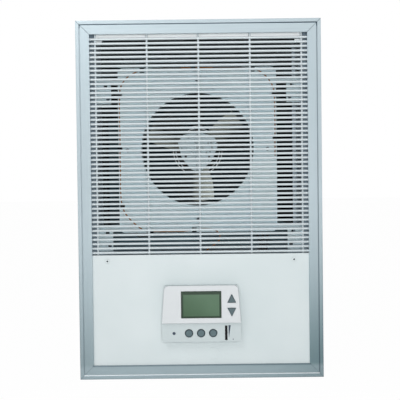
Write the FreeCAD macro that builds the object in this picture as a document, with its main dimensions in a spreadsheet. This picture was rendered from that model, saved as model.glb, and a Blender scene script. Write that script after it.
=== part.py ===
# Wall-mounted fan heater with a bar grille, a painted lower panel and a built-in thermostat.
# X runs to the right, Y runs back into the wall and Z runs up. The origin lies on the rear
# face of the back box, in the middle of its four wall screws, so everything else has a
# negative Y. A pad on the XZ plane grows towards the room, and its start is a depth in
# front of the rear face. Sizes are in millimetres, angles in degrees.
import FreeCAD, Part
import math
import os
import re
import Sketcher

Vector = FreeCAD.Vector
ORIGIN_PLANES = {"XY": "XY_Plane", "XZ": "XZ_Plane", "YZ": "YZ_Plane"}
ORIGIN_AXES = {"X": "X_Axis", "Y": "Y_Axis", "Z": "Z_Axis"}

document = FreeCAD.newDocument("WallFanHeater")
sheet = document.addObject("Spreadsheet::Sheet", "Sizes")
size_names = []
places = {}
pieces = []


def sizes(named):
    """Writes plain numbers into the sheet, each with its name as the cell's alias."""
    for name, number in named.items():
        row = len(size_names) + 1
        sheet.set("A%d" % row, name)
        sheet.set("B%d" % row, str(number))
        sheet.setAlias("B%d" % row, name)
        size_names.append(name)
    sheet.recompute()


def formula(text):
    """Turns words in a formula into references to the sheet, and places into their formulas."""
    def reference(found):
        word = found.group(0)
        if word in places:
            return "(" + formula(places[word]) + ")"
        return "Sizes." + word if word in size_names else word
    return re.sub(r"[a-z_][a-z_0-9]*", reference, text)


def value(text):
    """Works a formula out as a number."""
    return float(sheet.evalExpression(formula(text)))


def spot(x, y, z):
    return Vector(value(x), value(y), value(z))


def piece(label):
    """Starts a sub-part as a body whose label names its file."""
    body = document.addObject("PartDesign::Body", label)
    body.Label = label
    pieces.append(body)
    return body


def shaped(label, shape, placement=FreeCAD.Placement()):
    """Adds a sub-part whose shape comes from Part's own functions."""
    feature = document.addObject("Part::Feature", label)
    feature.Label = label
    feature.Shape = shape
    feature.Placement = placement
    pieces.append(feature)
    return feature


def origin_feature(body, role):
    return next(item for item in body.Origin.OriginFeatures if item.Role == role)


def rectangle(left, right, low, high):
    return [(left, low), (right, low), (right, high), (left, high)]


def sketch_on(body, plane, start, loops):
    """Draws circles (x, y, radius) and closed outlines, every size tied to the sheet."""
    sketch = body.newObject("Sketcher::SketchObject", body.Label + "_sketch")
    sketch.AttachmentSupport = [(origin_feature(body, ORIGIN_PLANES[plane]), "")]
    sketch.MapMode = "FlatFace"
    sketch.setExpression("AttachmentOffset.Base.z", formula(start))
    for loop in loops:
        first = sketch.GeometryCount
        ties = []
        if isinstance(loop, tuple):
            x, y, radius = loop
            centre = Vector(value(x), value(y), 0)
            sketch.addGeometry(Part.Circle(centre, Vector(0, 0, 1), value(radius)))
            ties.append(("DistanceX", (-1, 1, first, 3), x))
            ties.append(("DistanceY", (-1, 1, first, 3), y))
            ties.append(("Radius", (first,), radius))
        else:
            corners = [Vector(value(x), value(y), 0) for x, y in loop]
            for index, (x, y) in enumerate(loop):
                following = corners[(index + 1) % len(loop)]
                sketch.addGeometry(Part.LineSegment(corners[index], following))
                ties.append(("DistanceX", (-1, 1, first + index, 1), x))
                ties.append(("DistanceY", (-1, 1, first + index, 1), y))
            for index in range(len(loop)):
                following = first + (index + 1) % len(loop)
                sketch.addConstraint(
                    Sketcher.Constraint("Coincident", first + index, 2, following, 1))
        for kind, ends, text in ties:
            number = sketch.addConstraint(Sketcher.Constraint(kind, *ends, value(text)))
            sketch.setExpression("Constraints[%d]" % number, formula(text))
    return sketch


def extruded(body, kind, plane, start, length, loops):
    feature = body.newObject("PartDesign::" + kind, body.Label + "_" + kind.lower())
    feature.Profile = sketch_on(body, plane, start, loops)
    feature.setExpression("Length", formula(length))
    body.Tip = feature
    return feature


def pad(body, plane, start, length, *loops):
    """Adds material from start, the way the plane faces: +Z, -Y or +X."""
    return extruded(body, "Pad", plane, start, length, loops)


def pocket(body, plane, start, length, *loops):
    """Cuts from start, against the way the plane faces: -Z, +Y or -X."""
    return extruded(body, "Pocket", plane, start, length, loops)


def turned(body, x, z, outline, kind="Revolution"):
    """Turns an outline of (radius, y) points about the line through x, z along Y."""
    feature = body.newObject("PartDesign::" + kind, body.Label + "_turned")
    sketch = sketch_on(body, "XY", z, [outline])
    sketch.setExpression("AttachmentOffset.Base.x", formula(x))
    feature.Profile = sketch
    feature.ReferenceAxis = (sketch, ["V_Axis"])
    feature.Angle = 360
    body.Tip = feature
    return feature


def repeat(body, feature, axis, spacing, count, backwards=False):
    """Repeats a feature along an origin axis."""
    pattern = body.newObject("PartDesign::LinearPattern", body.Label + "_pattern")
    pattern.Originals = [feature]
    pattern.Direction = (origin_feature(body, ORIGIN_AXES[axis]), [""])
    pattern.Reversed = backwards
    pattern.setExpression("Length", formula("(%s) * (%s - 1)" % (spacing, count)))
    pattern.setExpression("Occurrences", formula(count))
    body.Tip = pattern
    return pattern


def round_corners(body, radius, corners):
    """Rounds the edges along Y that stand at the given (x, z) corners."""
    document.recompute()
    base = body.Tip
    names = []
    for x, z in [(value(x), value(z)) for x, z in corners]:
        misses = [sum(math.hypot(end.X - x, end.Z - z) for end in edge.Vertexes)
                  for edge in base.Shape.Edges]
        names.append("Edge%d" % (misses.index(min(misses)) + 1))
    fillet = body.newObject("PartDesign::Fillet", body.Label + "_fillet")
    fillet.Base = (base, names)
    fillet.setExpression("Radius", formula(radius))
    body.Tip = fillet
    return fillet


def smooth_path(points):
    """Joins straight runs with tangent arcs, each taking a share of its shorter run."""
    edges = []
    radii = []
    start = points[0]
    for before, corner, after in zip(points, points[1:], points[2:]):
        back = before - corner
        ahead = after - corner
        tangent = ARC_SHARE * min(back.Length, ahead.Length)
        back.normalize()
        ahead.normalize()
        turn = math.pi - back.getAngle(ahead)
        radius = tangent / math.tan(turn / 2)
        middle_way = (back + ahead).normalize()
        bulge = radius / math.cos(turn / 2) - radius
        arc_start = corner + back * tangent
        arc_end = corner + ahead * tangent
        edges.append(Part.LineSegment(start, arc_start).toShape())
        edges.append(Part.Arc(arc_start, corner + middle_way * bulge, arc_end).toShape())
        radii.append(radius)
        start = arc_end
    edges.append(Part.LineSegment(start, points[-1]).toShape())
    return Part.Wire(edges), radii


def tube(name, points, radius):
    """Sweeps a round section along a smooth path and says how tight its arcs are."""
    path, radii = smooth_path(points)
    section = Part.Wire(Part.Circle(points[0], points[1] - points[0], radius).toShape())
    solid = path.makePipeShell([section], True, False)
    expected = math.pi * radius ** 2 * path.Length
    print("%s: length %.1f, least arc radius %.1f, volume ratio %.4f"
          % (name, path.Length, min(radii), solid.Volume / expected))
    return solid


ARC_SHARE = 0.45

# Back box: sheet steel let into the wall between two studs, open to the room
BOX_SIZES = {
    "box_width": 356.0,
    "box_height": 560.0,
    "box_depth": 100.0,
    "sheet_steel": 1.2,
    "wall_screw_across": 270.0,
    "wall_screw_up": 460.0,
    "wall_hole_radius": 3.5,
    "stud_screw_deep": 50.0,
    "stud_screw_up": 400.0,
    "stud_hole_radius": 3.0,
    "side_flange": 6.0,
    "wall_flange": 11.5,
    "wall_flange_rise": 6.0,
    "knockout_radius": 11.0,
    "knockout_score": 0.8,
    "knockout_score_depth": 0.5,
    "knockout_across": 90.0,
    "knockout_depth": 45.0,
    "inlet_across": 115.0,
    "inlet_depth": 30.0,
    "clamp_body_radius": 10.5,
    "clamp_bore_radius": 7.0,
    "clearance": 0.15,
    "cut_overrun": 1.0,
}
sizes(BOX_SIZES)
places.update({
    "box_half": "box_width / 2",
    "box_inner_half": "box_half - sheet_steel",
    "box_top": "box_height / 2",
    "box_inner_top": "box_top - sheet_steel",
    "wall_x": "wall_screw_across / 2",
    "wall_z": "wall_screw_up / 2",
    "stud_hole_front": "box_depth / 2 + stud_screw_deep / 2",
    "stud_hole_rear": "box_depth / 2 - stud_screw_deep / 2",
    "stud_z": "stud_screw_up / 2",
    "through": "2 * cut_overrun",
})

wrapper = piece("box_wrapper")
pad(wrapper, "XZ", "0", "sheet_steel",
    rectangle("-box_half", "box_half", "-box_top", "box_top"),
    *[(sign_x + "wall_x", sign_z + "wall_z", "wall_hole_radius")
      for sign_x in ("", "-") for sign_z in ("", "-")])
for low, high in (("box_inner_top", "box_top"), ("-box_top", "-box_inner_top")):
    pad(wrapper, "XZ", "sheet_steel", "box_depth - sheet_steel",
        rectangle("-box_half", "box_half", low, high))
pocket(wrapper, "XY", "-box_inner_top + cut_overrun", "sheet_steel + through",
       ("-inlet_across", "-inlet_depth", "clamp_body_radius + clearance"))
for across in ("knockout_across", "-knockout_across"):
    pocket(wrapper, "XY", "box_top", "knockout_score_depth",
           (across, "-knockout_depth", "knockout_radius"),
           (across, "-knockout_depth", "knockout_radius - knockout_score"))

# Fan deck: the plate that carries the fan, set back from the front of the box
DECK_SIZES = {
    "deck_recess": 20.0,
    "deck_thickness": 1.2,
    "deck_width": 274.0,
    "deck_height": 285.0,
    "deck_corner": 9.0,
    "fan_offset": 3.0,
    "fan_height": 86.0,
    "deck_drop": 0.5,
    "orifice_radius": 97.0,
    "collar_depth": 18.8,
    "deck_screw_circle": 121.0,
    "screw_radius": 1.9,
    "screw_head_radius": 3.3,
    "screw_head_height": 2.0,
    "screw_length": 8.0,
}
sizes(DECK_SIZES)
places.update({
    "fan_x": "-fan_offset",
    "fan_z": "fan_height",
    "deck_front": "box_depth - deck_recess",
    "deck_back": "deck_front - deck_thickness",
    "deck_left": "fan_x - deck_width / 2",
    "deck_right": "fan_x + deck_width / 2",
    "deck_low": "fan_z - deck_drop - deck_height / 2",
    "deck_high": "fan_z - deck_drop + deck_height / 2",
    "screw_hole": "screw_radius + clearance",
})
DECK_SCREWS = [("fan_x", "fan_z + deck_screw_circle"), ("fan_x", "fan_z - deck_screw_circle"),
               ("fan_x - deck_screw_circle", "fan_z"), ("fan_x + deck_screw_circle", "fan_z")]

deck = piece("fan_deck")
pad(deck, "XZ", "deck_back", "deck_thickness",
    rectangle("deck_left", "deck_right", "deck_low", "deck_high"),
    ("fan_x", "fan_z", "orifice_radius"),
    *[(x, z, "screw_hole") for x, z in DECK_SCREWS])
pad(deck, "XZ", "deck_back - collar_depth", "collar_depth",
    ("fan_x", "fan_z", "orifice_radius + deck_thickness"),
    ("fan_x", "fan_z", "orifice_radius"))
round_corners(deck, "deck_corner",
              [(x, z) for x in ("deck_left", "deck_right") for z in ("deck_low", "deck_high")])

# Corner brackets: four plates welded behind the deck and screwed to tabs of the box sides
BRACKET_SIZES = {
    "bracket_thickness": 1.5,
    "bracket_width": 25.0,
    "bracket_height": 42.0,
    "bracket_top_drop": 40.5,
    "bracket_low_drop": 10.5,
    "bracket_arm": 8.0,
    "bracket_lap": 10.0,
    "bracket_hole_radius": 3.3,
    "bracket_hole_rise": 10.7,
    "bracket_hole_inset": 15.5,
    "bracket_screw_drop": 11.5,
    "bracket_screw_inset": 19.5,
    "tab_half_height": 9.0,
}
sizes(BRACKET_SIZES)
places.update({
    "bracket_back": "deck_back - bracket_thickness",
    "tab_back": "bracket_back - sheet_steel",
    "bracket_inner": "box_inner_half - bracket_width",
})
BRACKET_HEIGHTS = ("deck_high - bracket_top_drop", "deck_low - bracket_low_drop")


def bracket_outline(side, centre):
    """The outline of a bracket: a plate against the box side and an arm behind the deck."""
    reach = "deck_left + bracket_lap" if side == "-" else "deck_right - bracket_lap"
    wall = side + "box_inner_half"
    inner = side + "(bracket_inner)"
    top = centre + " + bracket_height / 2"
    return [(wall, centre + " - bracket_height / 2"), (inner, centre + " - bracket_height / 2"),
            (inner, top + " - bracket_arm"), (reach, top + " - bracket_arm"), (reach, top),
            (wall, top)]


brackets = piece("corner_brackets")
pad(brackets, "XZ", "bracket_back", "bracket_thickness",
    *[bracket_outline(side, centre) for side in ("-", "") for centre in BRACKET_HEIGHTS],
    *[(side + "(box_inner_half - bracket_hole_inset)", centre + " + bracket_hole_rise",
       "bracket_hole_radius") for side in ("-", "") for centre in BRACKET_HEIGHTS],
    *[(side + "(box_inner_half - bracket_screw_inset)", centre + " - bracket_screw_drop",
       "screw_hole") for side in ("-", "") for centre in BRACKET_HEIGHTS])

BRACKET_SCREWS = [(side + "(box_inner_half - bracket_screw_inset)",
                   centre + " - bracket_screw_drop")
                  for side in ("-", "") for centre in BRACKET_HEIGHTS]
deck_screws = piece("deck_screws")
for seat, screw_places in (("deck_front", DECK_SCREWS), ("deck_back", BRACKET_SCREWS)):
    pad(deck_screws, "XZ", seat + " - screw_length", "screw_length",
        *[(x, z, "screw_radius") for x, z in screw_places])
    pad(deck_screws, "XZ", seat, "screw_head_height",
        *[(x, z, "screw_head_radius") for x, z in screw_places])

# Box sides: folded plates spot-welded to the back, with deck tabs and a flange on the wall
for side, label in (("-", "box_side_left"), ("", "box_side_right")):
    plate = piece(label)
    wall_span = sorted((side + "box_half", side + "box_inner_half"), key=value)
    flange_span = sorted((side + "box_inner_half", side + "(box_inner_half - side_flange)"),
                         key=value)
    tab_span = sorted((side + "box_inner_half", side + "(bracket_inner)"), key=value)
    pad(plate, "XZ", "sheet_steel", "box_depth - sheet_steel",
        rectangle(*wall_span, "-box_inner_top", "box_inner_top"))
    pad(plate, "XZ", "sheet_steel", "sheet_steel",
        rectangle(*flange_span, "-box_inner_top", "box_inner_top"))
    for centre in BRACKET_HEIGHTS:
        middle = centre + " - bracket_screw_drop"
        pad(plate, "XZ", "tab_back", "sheet_steel",
            rectangle(*tab_span, middle + " - tab_half_height", middle + " + tab_half_height"),
            (side + "(box_inner_half - bracket_screw_inset)", middle, "screw_hole"))
    wall_flange_span = sorted((side + "box_inner_half", side + "(box_half + wall_flange)"),
                              key=value)
    pad(plate, "XZ", "box_depth", "sheet_steel",
        rectangle(*wall_flange_span, "-box_top - wall_flange_rise",
                  "box_top + wall_flange_rise"))
    pocket(plate, "YZ", wall_span[1] + " + cut_overrun", "sheet_steel + through",
           *[("-" + deep, sign + "stud_z", "stud_hole_radius")
             for deep in ("(stud_hole_front)", "(stud_hole_rear)") for sign in ("", "-")])

# Front frame: four mitred aluminium extrusions round the grille and the panel
FRAME_SIZES = {
    "frame_side_lap": 28.0,
    "frame_end_lap": 22.5,
    "frame_depth": 20.0,
    "frame_face": 23.0,
    "frame_wall": 2.0,
    "frame_skin": 2.8,
    "frame_rim": 6.0,
    "frame_groove": 1.6,
    "frame_groove_depth": 1.4,
    "frame_face_drop": 0.5,
    "frame_nose": 4.0,
    "frame_leg_inset": 14.0,
    "panel_visible": 186.9,
    "key_length": 40.0,
    "key_thickness": 3.0,
    "key_clearance": 0.5,
}
sizes(FRAME_SIZES)
places.update({
    "frame_width": "box_width + 2 * frame_side_lap",
    "frame_height": "box_height + 2 * frame_end_lap",
    "frame_front": "box_depth + frame_depth",
    "frame_half": "frame_width / 2",
    "frame_top": "frame_height / 2",
    "opening_top": "frame_top - frame_face",
    "leg_inner_half": "frame_half - frame_leg_inset - frame_wall",
    "leg_inner_top": "frame_top - frame_leg_inset - frame_wall",
    "infill_front": "frame_front - frame_nose",
    "face_back": "frame_front - frame_skin",
    "panel_top": "-opening_top + panel_visible",
})
RAIL_OUTLINE = [
    ("0", "frame_depth"), ("0", "0"), ("frame_rim", "0"), ("frame_rim", "frame_groove_depth"),
    ("frame_rim + frame_groove", "frame_groove_depth"),
    ("frame_rim + frame_groove", "frame_face_drop"), ("frame_face", "frame_face_drop"),
    ("frame_face", "frame_nose"), ("frame_face - frame_wall", "frame_nose"),
    ("frame_face - frame_wall", "frame_skin"),
    ("frame_leg_inset + frame_wall", "frame_skin"),
    ("frame_leg_inset + frame_wall", "frame_depth"), ("frame_leg_inset", "frame_depth"),
    ("frame_leg_inset", "frame_skin"), ("frame_wall", "frame_skin"),
    ("frame_wall", "frame_depth"),
]


def mitred_rail(span, reach):
    """Extrudes the rail along X at the top of the frame and cuts both ends at 45 degrees."""
    half = value(span) / 2
    top = value(reach)
    front = -value("frame_front")
    ring = [Vector(-half, front + value(deep), top - value(inward))
            for inward, deep in RAIL_OUTLINE]
    profile = Part.Face(Part.makePolygon(ring + ring[:1]))
    bar = profile.extrude(Vector(2 * half, 0, 0))
    face = value("frame_face")
    trapezoid = [Vector(-half, front, top), Vector(half, front, top),
                 Vector(half - face, front, top - face),
                 Vector(-half + face, front, top - face)]
    mitre = Part.Face(Part.makePolygon(trapezoid + trapezoid[:1]))
    return bar.common(mitre.extrude(Vector(0, value("frame_depth"), 0)))


for label, span, reach, turn in (("frame_top_rail", "frame_width", "frame_top", 0),
                                 ("frame_right_rail", "frame_height", "frame_half", 90),
                                 ("frame_bottom_rail", "frame_width", "frame_top", 180),
                                 ("frame_left_rail", "frame_height", "frame_half", 270)):
    shaped(label, mitred_rail(span, reach),
           FreeCAD.Placement(Vector(), FreeCAD.Rotation(Vector(0, 1, 0), turn)))

places.update({
    "key_outer_x": "frame_half - frame_wall - key_clearance",
    "key_inner_x": "frame_half - frame_leg_inset + key_clearance",
    "key_outer_z": "frame_top - frame_wall - key_clearance",
    "key_inner_z": "frame_top - frame_leg_inset + key_clearance",
})
keys = piece("frame_corner_keys")
for sign_x in ("-", ""):
    for sign_z in ("-", ""):
        pad(keys, "XZ", "face_back - key_thickness", "key_thickness",
            [(sign_x + "(" + x + ")", sign_z + "(" + z + ")") for x, z in (
                ("key_outer_x", "key_outer_z"), ("key_outer_x - key_length", "key_outer_z"),
                ("key_outer_x - key_length", "key_inner_z"), ("key_inner_x", "key_inner_z"),
                ("key_inner_x", "key_outer_z - key_length"),
                ("key_outer_x", "key_outer_z - key_length"))])

# Hanger: a white strip on the box top that the frame hangs on, with an ear at each end
HANGER_SIZES = {
    "hanger_thickness": 1.5,
    "hanger_drop": 7.0,
    "hanger_inset": 3.0,
    "hanger_foot": 20.0,
    "ear_width": 11.0,
    "ear_drop": 9.0,
}
sizes(HANGER_SIZES)
places.update({
    "hanger_low": "box_top - hanger_drop",
    "hanger_half": "box_half - hanger_inset",
})
hanger = piece("hanger_strip")
pad(hanger, "XZ", "box_depth", "hanger_thickness",
    [("-hanger_half", "leg_inner_top"), ("-hanger_half", "hanger_low - ear_drop"),
     ("-hanger_half + ear_width", "hanger_low - ear_drop"),
     ("-hanger_half + ear_width", "hanger_low"), ("hanger_half - ear_width", "hanger_low"),
     ("hanger_half - ear_width", "hanger_low - ear_drop"),
     ("hanger_half", "hanger_low - ear_drop"), ("hanger_half", "leg_inner_top")])
pad(hanger, "XZ", "box_depth - hanger_foot", "hanger_foot",
    rectangle("-hanger_half", "hanger_half", "box_top", "box_top + hanger_thickness"))

# Grille: thin flat bars threaded on round cross rods between two side rails
GRILLE_SIZES = {
    "bar_pitch": 7.51,
    "bar_height": 3.7,
    "bar_depth": 9.0,
    "bar_nose": 0.9,
    "bar_top_margin": 7.5,
    "rod_radius": 1.7,
    "rod_end_inset": 13.0,
    "rod_inset": 4.5,
    "grille_rail": 3.0,
    "grille_rail_depth": 13.0,
    "rod_below": 1.6,
}
sizes(GRILLE_SIZES)
places.update({
    "first_bar_z": "opening_top - bar_top_margin",
    "bar_room": "first_bar_z - bar_height / 2 - rod_below - panel_top",
    "bar_count": "floor(bar_room / bar_pitch) + 1",
    "last_bar_z": "first_bar_z - bar_pitch * (bar_count - 1)",
    "bar_half": "leg_inner_half - grille_rail",
    "rod_pitch": "(bar_half - rod_end_inset) / 2",
    "bar_back": "infill_front - bar_depth",
    "grille_low": "last_bar_z - bar_height / 2 - rod_below",
})
bars = piece("grille_bars")
first_bar = pad(bars, "YZ", "-bar_half", "2 * bar_half",
                [("-bar_back", "first_bar_z - bar_height / 2"),
                 ("-infill_front + bar_nose", "first_bar_z - bar_height / 2"),
                 ("-infill_front", "first_bar_z - bar_height / 2 + bar_nose"),
                 ("-infill_front", "first_bar_z + bar_height / 2 - bar_nose"),
                 ("-infill_front + bar_nose", "first_bar_z + bar_height / 2"),
                 ("-bar_back", "first_bar_z + bar_height / 2")])
repeat(bars, first_bar, "Z", "bar_pitch", "bar_count", backwards=True)
ROD_PLACES = ["%d * rod_pitch" % step for step in (-2, -1, 0, 1, 2)]
pocket(bars, "XY", "first_bar_z + bar_height", "first_bar_z - last_bar_z + 2 * bar_height",
       *[(x, "-(infill_front - rod_inset)", "rod_radius + clearance / 2") for x in ROD_PLACES])

rods = piece("grille_rods")
pad(rods, "XY", "grille_low", "leg_inner_top - grille_low - clearance",
    *[(x, "-(infill_front - rod_inset)", "rod_radius") for x in ROD_PLACES])

for side, label in (("-", "grille_rail_left"), ("", "grille_rail_right")):
    rail = piece(label)
    span = sorted((side + "(bar_half)", side + "(leg_inner_half)"), key=value)
    pad(rail, "XZ", "face_back - grille_rail_depth", "grille_rail_depth",
        rectangle(*span, "grille_low", "leg_inner_top - clearance"))

# Lower panel: painted sheet with a return along its top edge
PANEL_SIZES = {
    "panel_thickness": 1.5,
    "panel_return": 8.5,
    "panel_screw_inset": 18.8,
    "panel_screw_drop": 10.1,
    "panel_screw_radius": 2.0,
    "panel_screw_head": 3.6,
    "panel_screw_head_height": 1.6,
    "panel_screw_socket": 1.5,
    "panel_screw_length": 17.0,
    "wiring_window": 20.0,
}
sizes(PANEL_SIZES)
places.update({
    "panel_low": "-leg_inner_top + clearance",
    "panel_half": "leg_inner_half - clearance",
    "panel_back": "infill_front - panel_thickness",
    "panel_screw_across": "box_inner_half - panel_screw_inset",
    "panel_screw_z": "panel_top - panel_screw_drop",
})

# Thermostat: white housing on the panel, a raised fascia over it and a control strip below
THERMOSTAT_SIZES = {
    "base_half": 57.5,
    "base_thickness": 3.0,
    "body_half": 66.3,
    "body_top_half": 61.8,
    "body_top_drop": 50.7,
    "body_step_drop": 113.7,
    "body_low_drop": 145.9,
    "strip_proud": 14.0,
    "fascia_proud": 20.0,
    "shell": 2.0,
    "body_corner": 4.0,
    "fascia_corner": 8.0,
    "fascia_overhang": 0.6,
    "base_gap": 0.3,
    "base_post_radius": 2.5,
    "base_post_height": 2.5,
    "base_post_x": 46.0,
    "base_post_inset": 9.0,
    "base_screw_x": 45.0,
    "base_screw_drop": 97.4,
    "base_screw_radius": 1.4,
    "base_screw_head": 2.6,
    "base_screw_head_height": 1.4,
    "base_screw_length": 7.0,
    "board_half": 57.0,
    "board_thickness": 1.6,
    "board_inset": 3.5,
    "display_half": 33.5,
    "display_high_drop": 60.1,
    "display_low_drop": 104.9,
    "display_frame": 1.5,
    "display_gap": 1.0,
    "lens_thickness": 1.7,
}
sizes(THERMOSTAT_SIZES)
places.update({
    "body_top": "body_top_drop - panel_top",
    "body_step": "body_step_drop - panel_top",
    "body_low": "body_low_drop - panel_top",
    "base_screw_z": "base_screw_drop - panel_top",
    "display_high": "display_high_drop - panel_top",
    "display_low": "display_low_drop - panel_top",
    "base_front": "infill_front + base_thickness",
    "strip_front": "infill_front + strip_proud",
    "strip_back": "strip_front - shell",
    "fascia_front": "infill_front + fascia_proud",
    "fascia_back": "fascia_front - shell",
    "board_back": "base_front + base_post_height",
    "board_front": "board_back + board_thickness",
    "thermostat_mid": "-base_screw_z",
})

panel = piece("front_panel")
pad(panel, "XZ", "panel_back", "panel_thickness",
    rectangle("-panel_half", "panel_half", "panel_low", "panel_top"),
    *[(side + "panel_screw_across", "panel_screw_z", "panel_screw_radius + clearance")
      for side in ("-", "")],
    *[(side + "base_screw_x", "-base_screw_z", "base_screw_radius + clearance")
      for side in ("-", "")],
    rectangle("-wiring_window", "wiring_window", "thermostat_mid - wiring_window",
              "thermostat_mid + wiring_window"))
pad(panel, "XZ", "panel_back - panel_return", "panel_return",
    rectangle("-panel_half", "panel_half", "panel_top - panel_thickness", "panel_top"))

panel_screws = piece("panel_screws")
PANEL_SCREWS = [(side + "panel_screw_across", "panel_screw_z") for side in ("-", "")]
pad(panel_screws, "XZ", "infill_front - panel_screw_length", "panel_screw_length",
    *[(x, z, "panel_screw_radius") for x, z in PANEL_SCREWS])
pad(panel_screws, "XZ", "infill_front", "panel_screw_head_height",
    *[(x, z, "panel_screw_head") for x, z in PANEL_SCREWS])
pocket(panel_screws, "XZ", "infill_front + panel_screw_head_height + cut_overrun",
       "panel_screw_head_height + cut_overrun",
       *[(x, z, "panel_screw_socket") for x, z in PANEL_SCREWS])

# Plain badge: a blank disc on the panel
BADGE_SIZES = {
    "badge_radius": 9.8,
    "badge_thickness": 0.8,
    "badge_across": 19.5,
    "badge_drop": 168.0,
}
sizes(BADGE_SIZES)
places.update({"badge_depth": "badge_drop - panel_top"})
badge = piece("badge_blank")
pad(badge, "XZ", "infill_front", "badge_thickness",
    ("badge_across", "-badge_depth", "badge_radius"))

# Controls of the thermostat: two triangular keys, three round keys, a reset pin, a slider
KEY_SIZES = {
    "key_travel": 0.8,
    "key_proud": 1.0,
    "key_gap": 0.6,
    "key_flange": 1.6,
    "key_flange_lip": 1.3,
    "key_seat": 0.2,
    "stem_radius": 2.0,
    "key_overtravel": 0.1,
    "switch_height": 1.5,
    "switch_half": 3.0,
    "arrow_x": 51.0,
    "arrow_half": 6.3,
    "up_apex_drop": 66.3,
    "up_base_drop": 79.1,
    "down_base_drop": 89.0,
    "down_apex_drop": 101.6,
    "round_key_radius": 6.5,
    "round_key_pitch": 20.3,
    "round_key_offset": 0.8,
    "key_row_drop": 131.3,
    "reset_x": 46.2,
    "reset_radius": 1.2,
    "reset_flange_radius": 2.8,
    "reset_recess": 0.5,
    "slot_x": 41.4,
    "slot_half": 2.1,
    "slot_travel": 8.0,
    "slot_slack": 1.5,
    "knob_half_width": 1.8,
    "knob_half_height": 3.0,
    "knob_flange_half": 3.6,
    "knob_proud": 1.2,
    "slide_switch_half": 4.5,
}
sizes(KEY_SIZES)
places.update({
    "up_apex": "up_apex_drop - panel_top",
    "up_base": "up_base_drop - panel_top",
    "down_base": "down_base_drop - panel_top",
    "down_apex": "down_apex_drop - panel_top",
    "key_row": "key_row_drop - panel_top",
    "arrow_mid_up": "-(up_apex + 2 * up_base) / 3",
    "arrow_mid_down": "-(down_apex + 2 * down_base) / 3",
    "slot_half_height": "slot_travel + knob_half_height + slot_slack",
    "stem_end": "board_front + switch_height + key_travel + key_overtravel",
    "strip_flange_front": "strip_back - key_seat",
    "strip_flange_back": "strip_flange_front - key_flange",
    "fascia_flange_front": "fascia_back - key_seat",
    "fascia_flange_back": "fascia_flange_front - key_flange",
})
ROUND_KEYS = [("round_key_one", "-round_key_offset - round_key_pitch"),
              ("round_key_two", "-round_key_offset"),
              ("round_key_three", "-round_key_offset + round_key_pitch")]


def arrow(base, apex, grown):
    """A triangular key's outline, grown outwards on all sides by a gap or a lip."""
    height = "abs(%s - %s)" % (base, apex)
    slant = "sqrt(arrow_half ^ 2 + (%s - %s) ^ 2)" % (base, apex)
    foot, point = ("-", "+") if value(base) > value(apex) else ("+", "-")
    foot_z = "-%s %s (%s)" % (base, foot, grown)
    foot_half = "(arrow_half + (%s) * (arrow_half + %s) / %s)" % (grown, slant, height)
    point_z = "-%s %s (%s) * %s / arrow_half" % (apex, point, grown, slant)
    return [("arrow_x - " + foot_half, foot_z), ("arrow_x + " + foot_half, foot_z),
            ("arrow_x", point_z)]


ARROWS = [("up_key", "up_base", "up_apex", "arrow_mid_up"),
          ("down_key", "down_base", "down_apex", "arrow_mid_down")]

base = piece("thermostat_base")
pad(base, "XZ", "infill_front", "base_thickness",
    rectangle("-base_half", "base_half", "-body_low + shell + base_gap",
              "-body_top - fascia_overhang - shell - base_gap"),
    rectangle("-wiring_window", "wiring_window", "thermostat_mid - wiring_window",
              "thermostat_mid + wiring_window"),
    *[(side + "base_screw_x", "-base_screw_z", "base_screw_radius + clearance")
      for side in ("-", "")])
pad(base, "XZ", "base_front", "base_post_height",
    *[(side + "base_post_x", z, "base_post_radius") for side in ("-", "")
      for z in ("-body_top - base_post_inset", "-body_low + base_post_inset")])

base_screws = piece("thermostat_screws")
BASE_SCREWS = [(side + "base_screw_x", "-base_screw_z") for side in ("-", "")]
pad(base_screws, "XZ", "base_front - base_screw_length", "base_screw_length",
    *[(x, z, "base_screw_radius") for x, z in BASE_SCREWS])
pad(base_screws, "XZ", "base_front", "base_screw_head_height",
    *[(x, z, "base_screw_head") for x, z in BASE_SCREWS])


def body_outline(inset):
    """The housing's outline: straight at the control strip, drawn in towards the top."""
    slope = "(body_top_half - fascia_overhang - (" + inset + "))"
    return [("-body_half + " + inset, "-body_low + " + inset),
            ("body_half - (" + inset + ")", "-body_low + " + inset),
            ("body_half - (" + inset + ")", "-body_step"),
            (slope, "-body_top - fascia_overhang - (" + inset + ")"),
            ("-" + slope, "-body_top - fascia_overhang - (" + inset + ")"),
            ("-body_half + " + inset, "-body_step")]


housing = piece("thermostat_housing")
pad(housing, "XZ", "infill_front", "strip_proud - shell", body_outline("0"),
    body_outline("shell"))
pad(housing, "XZ", "strip_back", "shell", body_outline("0"),
    rectangle("-display_half - display_frame - display_gap",
              "display_half + display_frame + display_gap",
              "-display_low - display_frame - display_gap",
              "-display_high + display_frame + display_gap"),
    *[("arrow_x", middle, "stem_radius + display_gap") for _, _, _, middle in ARROWS],
    *[(x, "-key_row", "round_key_radius + key_gap") for _, x in ROUND_KEYS],
    ("-reset_x", "-key_row", "reset_radius + key_gap"),
    rectangle("slot_x - slot_half", "slot_x + slot_half", "-key_row - slot_half_height",
              "-key_row + slot_half_height"))
round_corners(housing, "body_corner",
              [(side + "body_half", "-body_low") for side in ("-", "")])


def fascia_outline(inset):
    """The fascia's outline: a trapezoid a little wider at its lower edge."""
    top = "(body_top_half - (" + inset + "))"
    low = "(body_half - (" + inset + "))"
    return [("-" + low, "-body_step + " + inset), (low, "-body_step + " + inset),
            (top, "-body_top - (" + inset + ")"), ("-" + top, "-body_top - (" + inset + ")")]


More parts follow.
